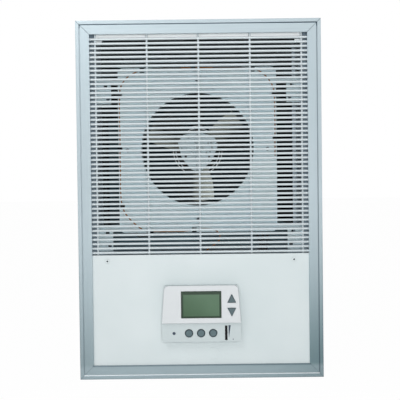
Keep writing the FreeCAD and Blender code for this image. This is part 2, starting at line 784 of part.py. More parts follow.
fascia = piece("thermostat_fascia")
pad(fascia, "XZ", "strip_front", "fascia_back - strip_front", fascia_outline("0"),
    fascia_outline("shell"))
pad(fascia, "XZ", "fascia_back", "shell", fascia_outline("0"),
    rectangle("-display_half - clearance", "display_half + clearance",
              "-display_low - clearance", "-display_high + clearance"),
    *[arrow(low, high, "key_gap") for _, low, high, _ in ARROWS])
round_corners(fascia, "fascia_corner",
              [(side + "body_top_half", "-body_top") for side in ("-", "")])
round_corners(fascia, "fascia_corner - shell",
              [(side + "(body_top_half - shell)", "-body_top - shell") for side in ("-", "")])

display = piece("display_module")
pad(display, "XZ", "board_front", "fascia_back - board_front",
    rectangle("-display_half - display_frame", "display_half + display_frame",
              "-display_low - display_frame", "-display_high + display_frame"))
lens = piece("display_lens")
pad(lens, "XZ", "fascia_back", "lens_thickness",
    rectangle("-display_half", "display_half", "-display_low", "-display_high"))

board = piece("thermostat_board")
pad(board, "XZ", "board_back", "board_thickness",
    rectangle("-board_half", "board_half", "-body_low + shell + board_inset",
              "-body_top - shell - board_inset"))
switches = piece("board_switches")
SWITCH_PLACES = ([("arrow_x", middle) for _, _, _, middle in ARROWS]
                 + [(x, "-key_row") for _, x in ROUND_KEYS] + [("-reset_x", "-key_row")])
pad(switches, "XZ", "board_front", "switch_height",
    *[rectangle(x + " - switch_half", x + " + switch_half", z + " - switch_half",
                z + " + switch_half") for x, z in SWITCH_PLACES])
pad(switches, "XZ", "board_front", "strip_flange_back - key_seat - board_front",
    rectangle("slot_x - slide_switch_half", "slot_x + slide_switch_half",
              "-key_row - slot_half_height", "-key_row + slot_half_height"))

for label, low, high, middle in ARROWS:
    key = piece(label)
    pad(key, "XZ", "fascia_flange_back", "key_flange", arrow(low, high, "key_flange_lip"))
    pad(key, "XZ", "fascia_flange_front", "fascia_front + key_proud - fascia_flange_front",
        arrow(low, high, "0"))
    pad(key, "XZ", "stem_end", "fascia_flange_back - stem_end",
        ("arrow_x", middle, "stem_radius"))
for label, x in ROUND_KEYS:
    key = piece(label)
    pad(key, "XZ", "strip_flange_back", "key_flange",
        (x, "-key_row", "round_key_radius + key_flange_lip"))
    pad(key, "XZ", "strip_flange_front", "strip_front + key_proud - strip_flange_front",
        (x, "-key_row", "round_key_radius"))
    pad(key, "XZ", "stem_end", "strip_flange_back - stem_end", (x, "-key_row", "stem_radius"))
reset = piece("reset_pin")
pad(reset, "XZ", "strip_flange_back", "key_flange",
    ("-reset_x", "-key_row", "reset_flange_radius"))
pad(reset, "XZ", "stem_end", "strip_front - reset_recess - stem_end",
    ("-reset_x", "-key_row", "reset_radius"))
knob = piece("slider_knob")
pad(knob, "XZ", "strip_flange_back", "key_flange",
    rectangle("slot_x - knob_flange_half", "slot_x + knob_flange_half",
              "-key_row - knob_half_height - slot_slack / 2",
              "-key_row + knob_half_height + slot_slack / 2"))
pad(knob, "XZ", "strip_flange_front", "strip_front + knob_proud - strip_flange_front",
    rectangle("slot_x - knob_half_width", "slot_x + knob_half_width",
              "-key_row - knob_half_height", "-key_row + knob_half_height"))

# Control shelf: divides fan and controls; its front lip takes the panel screws and switch
SHELF_SIZES = {
    "shelf_lip_proud": 4.0,
    "shelf_lip_height": 40.0,
    "grommet_radius": 6.0,
    "grommet_lip": 1.6,
    "grommet_lip_height": 1.2,
    "grommet_wall": 1.5,
    "capillary_grommet_x": 7.0,
    "capillary_grommet_recess": 12.0,
    "lead_grommet_x": 105.0,
    "lead_grommet_depth": 55.0,
    "rocker_x": 94.0,
    "rocker_drop": 19.4,
    "switch_body_half": 13.0,
    "switch_body_high": 15.0,
    "switch_body_depth": 32.0,
    "bezel": 2.0,
    "rocker_half": 6.5,
    "rocker_high": 11.0,
    "rocker_room": 1.8,
    "rocker_side_gap": 0.4,
    "rocker_sink": 6.0,
    "rocker_crest": 4.5,
    "rocker_dip": 2.4,
    "rocker_back": 3.0,
    "rocker_pin": 1.2,
    "rocker_pin_gap": 0.05,
    "rocker_pin_reach": 1.5,
}
sizes(SHELF_SIZES)
places.update({
    "capillary_grommet_depth": "box_depth - capillary_grommet_recess",
    "shelf_top": "panel_top",
    "shelf_low": "shelf_top - sheet_steel",
    "lip_front": "box_depth + shelf_lip_proud",
    "lip_back": "lip_front - sheet_steel",
    "rocker_z": "shelf_top - rocker_drop",
})
shelf = piece("control_shelf")
pad(shelf, "XZ", "sheet_steel", "lip_front - sheet_steel",
    rectangle("-box_inner_half + side_flange", "box_inner_half - side_flange", "shelf_low",
              "shelf_top"))
pad(shelf, "XZ", "2 * sheet_steel", "lip_front - 2 * sheet_steel",
    rectangle("-box_inner_half", "box_inner_half", "shelf_low", "shelf_top"))
pad(shelf, "XZ", "lip_back", "sheet_steel",
    rectangle("-box_inner_half", "box_inner_half", "shelf_top - shelf_lip_height",
              "shelf_top"),
    *[(x, z, "panel_screw_radius + clearance / 2") for x, z in PANEL_SCREWS],
    rectangle("rocker_x - switch_body_half + bezel", "rocker_x + switch_body_half - bezel",
              "rocker_z - switch_body_high + bezel", "rocker_z + switch_body_high - bezel"))
pocket(shelf, "XY", "shelf_top + cut_overrun", "sheet_steel + through",
       ("capillary_grommet_x", "-capillary_grommet_depth", "grommet_radius"),
       ("lead_grommet_x", "-lead_grommet_depth", "grommet_radius + grommet_wall"))

grommets = piece("shelf_grommets")
for x, deep, radius in (
        ("capillary_grommet_x", "-capillary_grommet_depth", "grommet_radius"),
        ("lead_grommet_x", "-lead_grommet_depth", "grommet_radius + grommet_wall")):
    bore = (x, deep, radius + " - grommet_wall - clearance")
    pad(grommets, "XY", "shelf_low", "sheet_steel", (x, deep, radius + " - clearance"), bore)
    for low in ("shelf_top", "shelf_low - grommet_lip_height"):
        pad(grommets, "XY", low, "grommet_lip_height", (x, deep, radius + " + grommet_lip"),
            bore)

# Disconnect switch: a rocker in a snap-in body behind the panel
switch_body = piece("disconnect_switch")
ROCKER_WELL = rectangle("rocker_x - rocker_half - rocker_side_gap",
                        "rocker_x + rocker_half + rocker_side_gap",
                        "rocker_z - rocker_high - rocker_room",
                        "rocker_z + rocker_high + rocker_room")
pad(switch_body, "XZ", "lip_back - switch_body_depth", "switch_body_depth",
    rectangle("rocker_x - switch_body_half", "rocker_x + switch_body_half",
              "rocker_z - switch_body_high", "rocker_z + switch_body_high"))
pad(switch_body, "XZ", "lip_back", "sheet_steel + bezel",
    rectangle("rocker_x - switch_body_half + bezel + clearance",
              "rocker_x + switch_body_half - bezel - clearance",
              "rocker_z - switch_body_high + bezel + clearance",
              "rocker_z + switch_body_high - bezel - clearance"))
pad(switch_body, "XZ", "lip_front", "bezel",
    rectangle("rocker_x - switch_body_half", "rocker_x + switch_body_half",
              "rocker_z - switch_body_high", "rocker_z + switch_body_high"))
pocket(switch_body, "XZ", "lip_front + bezel", "bezel + sheet_steel + 2 * rocker_sink",
       ROCKER_WELL)
pocket(switch_body, "YZ", "rocker_x + rocker_half + rocker_side_gap + rocker_pin_reach",
       "2 * (rocker_half + rocker_side_gap + rocker_pin_reach)",
       ("-lip_front", "rocker_z", "rocker_pin + rocker_pin_gap"))

rocker = piece("disconnect_rocker")
pad(rocker, "YZ", "rocker_x - rocker_half", "2 * rocker_half",
    [("-(lip_front - rocker_back)", "rocker_z - rocker_high / 2"),
     ("-(lip_front - rocker_back)", "rocker_z + rocker_high / 2"),
     ("-(lip_front)", "rocker_z + rocker_high"),
     ("-(lip_front + rocker_crest)", "rocker_z + rocker_high"),
     ("-(lip_front + rocker_dip)", "rocker_z"),
     ("-(lip_front + rocker_crest)", "rocker_z - rocker_high"),
     ("-(lip_front)", "rocker_z - rocker_high")])
pad(rocker, "YZ", "rocker_x - rocker_half - rocker_pin_reach",
    "2 * (rocker_half + rocker_pin_reach)", ("-lip_front", "rocker_z", "rocker_pin"))

# Fan motor: a round can on a strap behind the fan
MOTOR_SIZES = {
    "strap_depth": 8.0,
    "strap_thickness": 2.0,
    "strap_half": 12.0,
    "strap_reach": 130.0,
    "strap_foot": 16.0,
    "strap_pad": 30.0,
    "motor_radius": 45.0,
    "motor_wall": 1.5,
    "motor_length": 38.0,
    "stator_gap": 0.1,
    "stator_length": 18.0,
    "stator_bore": 20.5,
    "rotor_gap": 0.5,
    "winding_inner": 24.0,
    "winding_outer": 39.0,
    "winding_length": 6.5,
    "shaft_radius": 3.0,
    "shaft_gap": 0.05,
    "shaft_end": 3.0,
    "shaft_nose": 66.0,
    "bearing_radius": 7.5,
    "bearing_length": 8.0,
    "bearing_lip": 3.0,
    "bearing_lip_thickness": 2.0,
    "motor_stud_place": 20.0,
    "motor_stud_head": 2.0,
    "motor_vent_radius": 3.0,
    "motor_vent_circle": 34.0,
    "motor_vents": 8,
}
sizes(MOTOR_SIZES)
places.update({
    "strap_front": "strap_depth + strap_thickness",
    "motor_front": "strap_front + motor_length",
    "motor_mid": "strap_front + motor_length / 2",
    "stator_back": "motor_mid - stator_length / 2",
    "stator_front": "motor_mid + stator_length / 2",
})
strap = piece("motor_strap")
MOTOR_STUDS = [("fan_x " + a + " motor_stud_place", "fan_z " + b + " motor_stud_place")
               for a in "+-" for b in "+-"]
pad(strap, "XZ", "strap_depth", "strap_thickness",
    [("fan_x " + a, "fan_z " + b) for a, b in (
        ("- strap_half", "- strap_reach"), ("+ strap_half", "- strap_reach"),
        ("+ strap_half", "- strap_pad"), ("+ strap_pad", "- strap_pad"),
        ("+ strap_pad", "+ strap_pad"), ("+ strap_half", "+ strap_pad"),
        ("+ strap_half", "+ strap_reach"), ("- strap_half", "+ strap_reach"),
        ("- strap_half", "+ strap_pad"), ("- strap_pad", "+ strap_pad"),
        ("- strap_pad", "- strap_pad"), ("- strap_half", "- strap_pad"))],
    ("fan_x", "fan_z", "bearing_radius + clearance"),
    *[(x, z, "screw_hole") for x, z in MOTOR_STUDS])
for sign in "+-":
    leg_span = sorted(("fan_z " + sign + " strap_reach",
                       "fan_z " + sign + " (strap_reach - strap_thickness)"), key=value)
    foot_span = sorted(("fan_z " + sign + " strap_reach",
                        "fan_z " + sign + " (strap_reach - strap_foot)"), key=value)
    pad(strap, "XZ", "strap_front", "deck_back - strap_front",
        rectangle("fan_x - strap_half", "fan_x + strap_half", *leg_span))
    pad(strap, "XZ", "deck_back - strap_thickness", "strap_thickness",
        rectangle("fan_x - strap_half", "fan_x + strap_half", *foot_span),
        ("fan_x", "fan_z " + sign + " deck_screw_circle", "screw_hole"))

VENTS = [("fan_x + motor_vent_circle * cos(%d * 360 / motor_vents)" % step,
          "fan_z + motor_vent_circle * sin(%d * 360 / motor_vents)" % step,
          "motor_vent_radius") for step in range(int(value("motor_vents")))]
BELL_BORE = ("fan_x", "fan_z", "bearing_radius + clearance / 2")
MOTOR_OUTSIDE = ("fan_x", "fan_z", "motor_radius")
MOTOR_INSIDE = ("fan_x", "fan_z", "motor_radius - motor_wall")
rear_bell = piece("motor_rear_bell")
pad(rear_bell, "XZ", "strap_front", "motor_wall", MOTOR_OUTSIDE, BELL_BORE)
pad(rear_bell, "XZ", "strap_depth", "strap_thickness",
    *[(x, z, "screw_radius") for x, z in MOTOR_STUDS])
pad(rear_bell, "XZ", "strap_depth - motor_stud_head", "motor_stud_head",
    *[(x, z, "screw_head_radius") for x, z in MOTOR_STUDS])
pad(rear_bell, "XZ", "strap_front + motor_wall", "motor_mid - strap_front - motor_wall",
    MOTOR_OUTSIDE, MOTOR_INSIDE)
front_bell = piece("motor_front_bell")
pad(front_bell, "XZ", "motor_mid", "motor_front - motor_wall - motor_mid", MOTOR_OUTSIDE,
    MOTOR_INSIDE)
pad(front_bell, "XZ", "motor_front - motor_wall", "motor_wall", MOTOR_OUTSIDE, BELL_BORE,
    *VENTS)
stator = piece("motor_stator")
pad(stator, "XZ", "stator_back", "stator_length",
    ("fan_x", "fan_z", "motor_radius - motor_wall - stator_gap"),
    ("fan_x", "fan_z", "stator_bore"))
windings = piece("motor_windings")
for start in ("stator_back - winding_length", "stator_front"):
    pad(windings, "XZ", start, "winding_length", ("fan_x", "fan_z", "winding_outer"),
        ("fan_x", "fan_z", "winding_inner"))
bearings = piece("motor_bearings")
for start, lip in (("strap_front - motor_wall", "strap_front + motor_wall"),
                   ("motor_front + motor_wall - bearing_length",
                    "motor_front - motor_wall - bearing_lip_thickness")):
    pad(bearings, "XZ", start, "bearing_length", ("fan_x", "fan_z", "bearing_radius"),
        ("fan_x", "fan_z", "shaft_radius + shaft_gap"))
    pad(bearings, "XZ", lip, "bearing_lip_thickness",
        ("fan_x", "fan_z", "bearing_radius + bearing_lip"),
        ("fan_x", "fan_z", "bearing_radius - clearance"))

rotor = piece("motor_rotor")
pad(rotor, "XZ", "stator_back", "stator_length",
    ("fan_x", "fan_z", "stator_bore - rotor_gap"),
    ("fan_x", "fan_z", "shaft_radius + shaft_gap"))
shaft = piece("motor_shaft")
pad(shaft, "XZ", "strap_depth + shaft_end", "shaft_nose - strap_depth - shaft_end",
    ("fan_x", "fan_z", "shaft_radius"))

# Fan: a hub on the shaft, three stamped blades staked to its posts, a three-cornered spider
FAN_SIZES = {
    "hub_radius": 9.0,
    "hub_flange": 20.0,
    "hub_flange_thickness": 2.0,
    "hub_back": 50.0,
    "hub_nose": 69.0,
    "hub_wall": 3.0,
    "blade_depth": 60.0,
    "blade_sheet": 1.2,
    "blade_disc": 30.0,
    "blade_tip": 89.0,
    "blade_count": 3,
    "blade_first_angle": 27.0,
    "root_gap": 1.0,
    "root_chord": 27.0,
    "root_pitch": 6.0,
    "root_camber": 0.5,
    "waist_radius": 46.0,
    "waist_chord": 54.0,
    "waist_pitch": 19.0,
    "waist_camber": 3.6,
    "end_radius": 92.0,
    "end_chord": 68.0,
    "end_pitch": 24.0,
    "end_camber": 7.0,
    "hub_post_circle": 15.0,
    "hub_post_radius": 1.5,
    "hub_post_head": 2.6,
    "hub_post_head_height": 1.0,
    "spider_depth": 66.4,
    "spider_sheet": 1.2,
    "spider_reach": 37.0,
    "spider_waist": 31.0,
    "spider_spread": 13.0,
    "spider_corner": 7.0,
}
sizes(FAN_SIZES)
places.update({
    "blade_front": "blade_depth + blade_sheet",
    "root_radius": "hub_flange + root_gap",
})
hub = piece("fan_hub")
turned(hub, "fan_x", "fan_z",
       [("shaft_radius + shaft_gap", "-hub_back"), ("hub_radius", "-hub_back"),
        ("hub_radius", "-(blade_depth - hub_flange_thickness)"),
        ("hub_flange", "-(blade_depth - hub_flange_thickness)"),
        ("hub_flange", "-blade_depth"), ("hub_radius", "-blade_depth"),
        ("hub_radius", "-(hub_nose - hub_wall)"), ("hub_radius - hub_wall", "-hub_nose"),
        ("0", "-hub_nose"), ("0", "-shaft_nose"), ("shaft_radius + shaft_gap", "-shaft_nose")])
POST_ANGLES = (90, 210, 330)
POST_PLACES = [("fan_x + hub_post_circle * cos(%d)" % angle,
                "fan_z + hub_post_circle * sin(%d)" % angle) for angle in POST_ANGLES]
pad(hub, "XZ", "blade_depth", "blade_sheet",
    *[(x, z, "hub_post_radius") for x, z in POST_PLACES])
pad(hub, "XZ", "blade_front", "hub_post_head_height",
    *[(x, z, "hub_post_head") for x, z in POST_PLACES])


def spider_point(reach, turn):
    """A corner of the spider, so far from the shaft and so many degrees past a blade."""
    angle = value("blade_first_angle") + turn
    return ("fan_x + %s * cos(%s)" % (reach, angle), "fan_z + %s * sin(%s)" % (reach, angle))


spider_outline = []
for lobe in range(int(value("blade_count"))):
    middle = lobe * 360 / value("blade_count")
    spider_outline += [spider_point("spider_reach", middle - value("spider_spread")),
                       spider_point("spider_reach", middle + value("spider_spread")),
                       spider_point("spider_waist", middle + 180 / value("blade_count"))]
pad(hub, "XZ", "spider_depth", "spider_sheet", spider_outline)
round_corners(hub, "spider_corner", spider_outline)


def blade_section(station):
    """One section across a blade on the X axis: a thin cambered strip, pitched about X."""
    radius = value(station + "_radius")
    half = value(station + "_chord") / 2
    pitch = math.radians(value(station + "_pitch"))
    camber = value(station + "_camber")
    half_sheet = value("blade_sheet") / 2

    def edge_point(along, lift):
        across = along * math.cos(pitch) - lift * math.sin(pitch)
        forward = along * math.sin(pitch) + lift * math.cos(pitch)
        return Vector(radius, -forward, across)

    back = [edge_point(-half, -half_sheet), edge_point(0, camber - half_sheet),
            edge_point(half, -half_sheet)]
    front = [edge_point(half, half_sheet), edge_point(0, camber + half_sheet),
             edge_point(-half, half_sheet)]
    return Part.Wire([Part.Arc(*back).toShape(),
                      Part.LineSegment(back[-1], front[0]).toShape(),
                      Part.Arc(*front).toShape(),
                      Part.LineSegment(front[-1], back[0]).toShape()])


blade = Part.makeLoft([blade_section(station) for station in ("root", "waist", "end")],
                      True, False)
swept = Part.makeCylinder(value("blade_tip"), 2 * value("end_chord"),
                          Vector(0, -value("end_chord"), 0), Vector(0, 1, 0))
blade = blade.common(swept)
disc = Part.makeCylinder(value("blade_disc"), value("blade_sheet"),
                         Vector(0, -value("blade_sheet") / 2, 0), Vector(0, 1, 0))
blades = disc
for step in range(int(value("blade_count"))):
    turn = value("blade_first_angle") + step * 360 / value("blade_count")
    blades = blades.fuse(blade.rotated(Vector(), Vector(0, -1, 0), turn))
centre_hole = Part.makeCylinder(value("hub_radius + clearance / 2"), value("blade_disc"),
                                Vector(0, -value("blade_disc") / 2, 0), Vector(0, 1, 0))
blades = blades.cut(centre_hole)
for angle in POST_ANGLES:
    place = Vector(math.cos(math.radians(angle)), 0, math.sin(math.radians(angle)))
    blades = blades.cut(Part.makeCylinder(
        value("hub_post_radius + clearance"), value("blade_disc"),
        place * value("hub_post_circle") - Vector(0, value("blade_disc") / 2, 0),
        Vector(0, 1, 0)))
shaped("fan_blades", blades,
       FreeCAD.Placement(spot("fan_x", "-(blade_depth + blade_sheet / 2)", "fan_z"),
                         FreeCAD.Rotation()))

# Heating elements: two upright sheathed elements with square fins, left and right of the fan
ELEMENT_SIZES = {
    "element_reach": 118.0,
    "element_behind": 26.8,
    "element_half_length": 118.0,
    "sheath_radius": 4.0,
    "fin_half": 13.0,
    "fin_thickness": 0.5,
    "fin_pitch": 6.0,
    "fin_count": 16,
    "fin_start": 16.0,
    "pin_radius": 1.5,
    "pin_length": 14.0,
    "insulator_length": 7.0,
    "element_bracket_place": 111.0,
    "element_bracket_half": 8.0,
    "element_foot": 10.0,
    "middle_foot": 8.0,
    "element_fit": 0.05,
}
sizes(ELEMENT_SIZES)
places.update({"element_depth": "deck_back - element_behind"})
ELEMENT_XS = ("fan_x - element_reach", "fan_x + element_reach")
sheaths = piece("element_sheaths")
pad(sheaths, "XY", "fan_z - element_half_length", "2 * element_half_length",
    *[(x, "-element_depth", "sheath_radius") for x in ELEMENT_XS])
terminals = piece("element_terminals")
for low, pin_low in (("fan_z + element_half_length", "fan_z + element_half_length"),
                     ("fan_z - element_half_length - insulator_length",
                      "fan_z - element_half_length - pin_length")):
    pad(sheaths, "XY", low, "insulator_length",
        *[(x, "-element_depth", "sheath_radius") for x in ELEMENT_XS],
        *[(x, "-element_depth", "pin_radius + element_fit") for x in ELEMENT_XS])
    pad(terminals, "XY", pin_low, "pin_length",
        *[(x, "-element_depth", "pin_radius") for x in ELEMENT_XS])
fins = piece("element_fins")
FIN_STARTS = ("fan_z + fin_start", "fan_z - fin_start - fin_pitch * (fin_count - 1)")
first_fins = pad(fins, "XZ", "element_depth - fin_half", "2 * fin_half",
                 *[rectangle(x + " - fin_half", x + " + fin_half", z + " - fin_thickness / 2",
                             z + " + fin_thickness / 2") for x in ELEMENT_XS
                   for z in FIN_STARTS])
repeat(fins, first_fins, "Z", "fin_pitch", "fin_count")
pocket(fins, "XY", "fan_z + element_half_length", "2 * element_half_length",
       *[(x, "-element_depth", "sheath_radius + element_fit") for x in ELEMENT_XS])
element_brackets = piece("element_brackets")
for x in ELEMENT_XS:
    span = (x + " - element_bracket_half", x + " + element_bracket_half")
    for low, foot_low, foot_high in (
            ("fan_z + element_bracket_place", "fan_z + element_bracket_place",
             "fan_z + element_bracket_place + element_foot"),
            ("fan_z - element_bracket_place - sheet_steel",
             "fan_z - element_bracket_place - element_foot",
             "fan_z - element_bracket_place"),
            ("fan_z + middle_foot - sheet_steel", "fan_z - middle_foot",
             "fan_z + middle_foot")):
        web_depth = "deck_back - element_depth + element_bracket_half"
        pad(element_brackets, "XY", low, "sheet_steel",
            rectangle(*span, "-deck_back", "-element_depth + element_bracket_half"),
            (x, "-element_depth", "sheath_radius + element_fit"))
        holes = []
        if foot_low == "fan_z - middle_foot":
            away = "-" if x == ELEMENT_XS[0] else "+"
            holes = [("fan_x " + away + " deck_screw_circle", "fan_z", "screw_hole")]
        pad(element_brackets, "XZ", "deck_back - sheet_steel", "sheet_steel",
            rectangle(*span, foot_low, foot_high), *holes)

# Limit control: a sealed capillary clipped round the deck and its switch below the shelf
LIMIT_SIZES = {
    "capillary_radius": 1.0,
    "clip_half": 4.0,
    "clip_height": 3.4,
    "limit_half_width": 16.0,
    "limit_height": 26.0,
    "limit_drop": 7.4,
    "limit_depth": 30.0,
}
sizes(LIMIT_SIZES)
places.update({"limit_top": "shelf_low - limit_drop"})
# The route runs from the limit switch round the deck and ends at its right side. Each point
# has its x, its height over the deck's front and its z; a clip holds the middle of each run
# that starts at a point marked so
CAPILLARY_ROUTE = [
    (7.0, 8.0, -100.9), (9.0, 8.2, -89.0), (21.5, 6.6, -80.5), (33.4, 4.2, -71.5),
    (34.4, 2.2, -60.0), (22.5, 1.2, -51.4), (3.0, 1.2, -50.6, "clip"),
    (-24.0, 1.2, -55.6), (-48.0, 1.2, -55.3), (-72.0, 1.2, -55.7, "clip"),
    (-98.0, 1.2, -53.6), (-112.0, 1.2, -43.0), (-124.0, 1.2, -31.5),
    (-132.4, 1.2, -19.0, "clip"), (-136.4, 1.2, -4.0), (-137.8, 1.2, 18.0),
    (-137.3, 1.2, 42.0), (-137.7, 1.2, 68.0, "clip"), (-137.1, 1.2, 112.0),
    (-137.7, 1.2, 142.0), (-137.3, 1.2, 170.0, "clip"), (-136.3, 1.2, 194.0),
    (-127.0, 1.2, 210.0), (-109.0, 1.2, 221.6, "clip"), (-86.0, 1.2, 225.8),
    (-60.0, 1.2, 227.0), (-34.0, 1.2, 227.2, "clip"), (16.0, 1.2, 227.4),
    (48.0, 1.2, 227.3), (80.0, 1.2, 226.6, "clip"), (106.0, 1.2, 221.4),
    (120.0, 1.2, 208.5), (129.4, 1.2, 193.0, "clip"), (131.6, 1.2, 170.0),
    (131.2, 1.2, 148.0), (131.5, 1.2, 124.0, "clip"), (131.0, 1.2, 88.0),
    (131.2, 1.2, 74.0),
]
route = [Vector(x, -value("deck_front") - height, z)
         for x, height, z, *mark in CAPILLARY_ROUTE]
shaped("limit_capillary", tube("limit capillary", route, value("capillary_radius")))
clips = []
for start, end, point in zip(route, route[1:], CAPILLARY_ROUTE):
    if "clip" not in point:
        continue
    middle = (start + end) / 2
    half = value("clip_half")
    clip = Part.makeBox(2 * half, value("clip_height"), 2 * half,
                        Vector(middle.x - half, -value("deck_front + clip_height"),
                               middle.z - half))
    channel = Part.makeCylinder(value("capillary_radius + clearance"),
                                (end - start).Length, start, end - start)
    clips.append(clip.cut(channel))
shaped("capillary_clips", Part.makeCompound(clips))

limit_switch = piece("limit_switch")
pad(limit_switch, "XZ", "lip_back - limit_depth", "limit_depth",
    rectangle("capillary_grommet_x - limit_half_width",
              "capillary_grommet_x + limit_half_width", "limit_top - limit_height",
              "limit_top"))

# Supply side: a push-in cable clamp in the box bottom, a terminal block and a relay
SUPPLY_SIZES = {
    "clamp_flange_radius": 14.0,
    "clamp_flange_height": 4.0,
    "clamp_length": 22.0,
    "clamp_barb": 1.2,
    "clamp_barb_height": 2.5,
    "block_inset": 26.8,
    "block_length": 72.0,
    "block_rise": 33.8,
    "block_high": 24.0,
    "block_deep": 16.0,
    "block_rib": 3.0,
    "block_rib_count": 5,
    "block_rib_rise": 6.0,
    "terminal_screw_radius": 3.0,
    "terminal_screw_height": 3.0,
    "relay_left": 82.0,
    "relay_width": 44.0,
    "relay_low": 205.0,
    "relay_height": 50.0,
    "relay_depth": 40.0,
    "tab_width": 6.3,
    "tab_thickness": 0.8,
    "tab_length": 9.0,
    "tab_pitch": 10.0,
    "tab_count": 4,
}
sizes(SUPPLY_SIZES)
places.update({
    "block_left": "box_inner_half - block_inset",
    "block_low": "box_inner_top - block_rise",
})
clamp = piece("cable_clamp")
CLAMP_BORE = ("-inlet_across", "-inlet_depth", "clamp_bore_radius")
pad(clamp, "XY", "-box_top - clamp_flange_height", "clamp_length",
    ("-inlet_across", "-inlet_depth", "clamp_body_radius"), CLAMP_BORE)
pad(clamp, "XY", "-box_top - clamp_flange_height", "clamp_flange_height",
    ("-inlet_across", "-inlet_depth", "clamp_flange_radius"),
    ("-inlet_across", "-inlet_depth", "clamp_body_radius - clearance"))
pad(clamp, "XY", "-box_inner_top + clearance", "clamp_barb_height",
    ("-inlet_across", "-inlet_depth", "clamp_body_radius + clamp_barb"),
    ("-inlet_across", "-inlet_depth", "clamp_body_radius - clearance"))

block = piece("terminal_block")
pad(block, "XZ", "sheet_steel", "block_deep",
    rectangle("-block_left", "-block_left + block_length", "-block_low",
              "-block_low + block_high"))
first_rib = pad(block, "XZ", "sheet_steel + block_deep", "block_rib_rise",
                rectangle("-block_left", "-block_left + block_rib", "-block_low",
                          "-block_low + block_high"))
repeat(block, first_rib, "X", "(block_length - block_rib) / (block_rib_count - 1)",
       "block_rib_count")
terminal_screws = piece("terminal_screws")
first_screws = pad(terminal_screws, "XZ", "sheet_steel + block_deep", "terminal_screw_height",
                   *[("-block_left + block_rib / 2 + (block_length - block_rib)"
                      " / (block_rib_count - 1) / 2", "-block_low + block_high * %s" % part,
                      "terminal_screw_radius") for part in ("1 / 4", "3 / 4")])
repeat(terminal_screws, first_screws, "X", "(block_length - block_rib) / (block_rib_count - 1)",
       "block_rib_count - 1")

relay = piece("heater_relay")
pad(relay, "XZ", "sheet_steel", "relay_depth",
    rectangle("relay_left", "relay_left + relay_width", "-relay_low",
              "-relay_low + relay_height"))
places.update({
    "relay_top": "-relay_low + relay_height",
    "relay_tab_depth": "sheet_steel + relay_depth / 2",
    "relay_tab_x": "relay_left + relay_width / 2 - (tab_count - 1) / 2 * tab_pitch",
})
for step in range(int(value("tab_count"))):
    middle = "relay_tab_x + %d * tab_pitch" % step
    pad(relay, "XY", "relay_top", "tab_length",
        rectangle(middle + " - tab_width / 2", middle + " + tab_width / 2",
                  "-relay_tab_depth - tab_thickness / 2",
                  "-relay_tab_depth + tab_thickness / 2"))

# Leads: from the relay to elements, motor and thermostat, and a link between the elements
LEAD_SIZES = {
    "lead_radius": 1.3,
}
sizes(LEAD_SIZES)
LEAD_ROUTES = {
    "right element lead": [
        (119.0, 21.2, -145.6), (118.8, 22.6, -131.0), (114.6, 34.0, -117.0),
        (108.6, 52.0, -104.0), (107.8, 57.6, -86.0), (111.4, 56.4, -66.0),
        (115.0, 52.0, -46.3)],
    "left element lead": [
        (99.0, 21.2, -145.6), (99.2, 22.6, -131.0), (100.4, 35.0, -117.0),
        (102.0, 51.0, -103.0), (101.6, 55.4, -86.0), (93.0, 49.0, -69.0),
        (76.0, 38.0, -57.6), (50.0, 29.0, -52.0), (18.0, 25.0, -50.2), (-16.0, 24.4, -50.0),
        (-52.0, 27.0, -52.4), (-84.0, 34.0, -59.0), (-105.0, 42.5, -66.5),
        (-117.6, 49.0, -60.5), (-121.0, 52.0, -46.3)],
    "motor lead": [
        (109.0, 21.2, -145.6), (108.8, 22.4, -131.0), (107.4, 32.0, -116.0),
        (106.4, 49.0, -103.0), (106.0, 54.0, -86.0), (101.0, 46.0, -66.0),
        (92.0, 34.0, -44.0), (81.0, 27.0, -18.0), (66.0, 23.4, 8.0), (48.0, 22.4, 34.0),
        (29.0, 22.0, 54.0)],
    "element link": [
        (115.0, 52.0, 218.3), (113.0, 50.6, 231.0), (102.0, 46.0, 239.0),
        (80.0, 42.0, 242.0), (44.0, 40.0, 243.6), (4.0, 39.6, 242.4), (-38.0, 40.4, 243.8),
        (-80.0, 42.0, 241.6), (-107.0, 46.0, 238.6), (-118.6, 50.4, 230.6),
        (-121.0, 52.0, 218.3)],
    "first thermostat lead": [
        (5.0, 121.2, -190.0), (8.0, 104.0, -190.6), (22.0, 84.0, -191.4),
        (42.0, 62.0, -189.0), (60.0, 42.0, -186.4), (81.7, 32.0, -185.0)],
    "second thermostat lead": [
        (-5.0, 121.2, -190.0), (-3.0, 102.0, -189.4), (12.0, 80.0, -188.0),
        (34.0, 56.0, -191.6), (56.0, 34.0, -189.0), (81.7, 20.0, -187.0)],
}
shaped("lead_wires", Part.makeCompound(
    [tube(name, [Vector(x, -forward, z) for x, forward, z in lead], value("lead_radius"))
     for name, lead in LEAD_ROUTES.items()]))

document.recompute()
faults = [item.Name for item in document.Objects
          if "Invalid" in item.State or "Error" in item.State]
for item in pieces:
    if item.Shape.isNull() or not item.Shape.isValid():
        faults.append(item.Label)
if faults:
    raise RuntimeError("These objects failed: " + ", ".join(faults))
os.makedirs("parts", exist_ok=True)
for item in pieces:
    item.Shape.exportStep("parts/" + item.Label + ".step")
print("%d sub-parts written" % len(pieces))
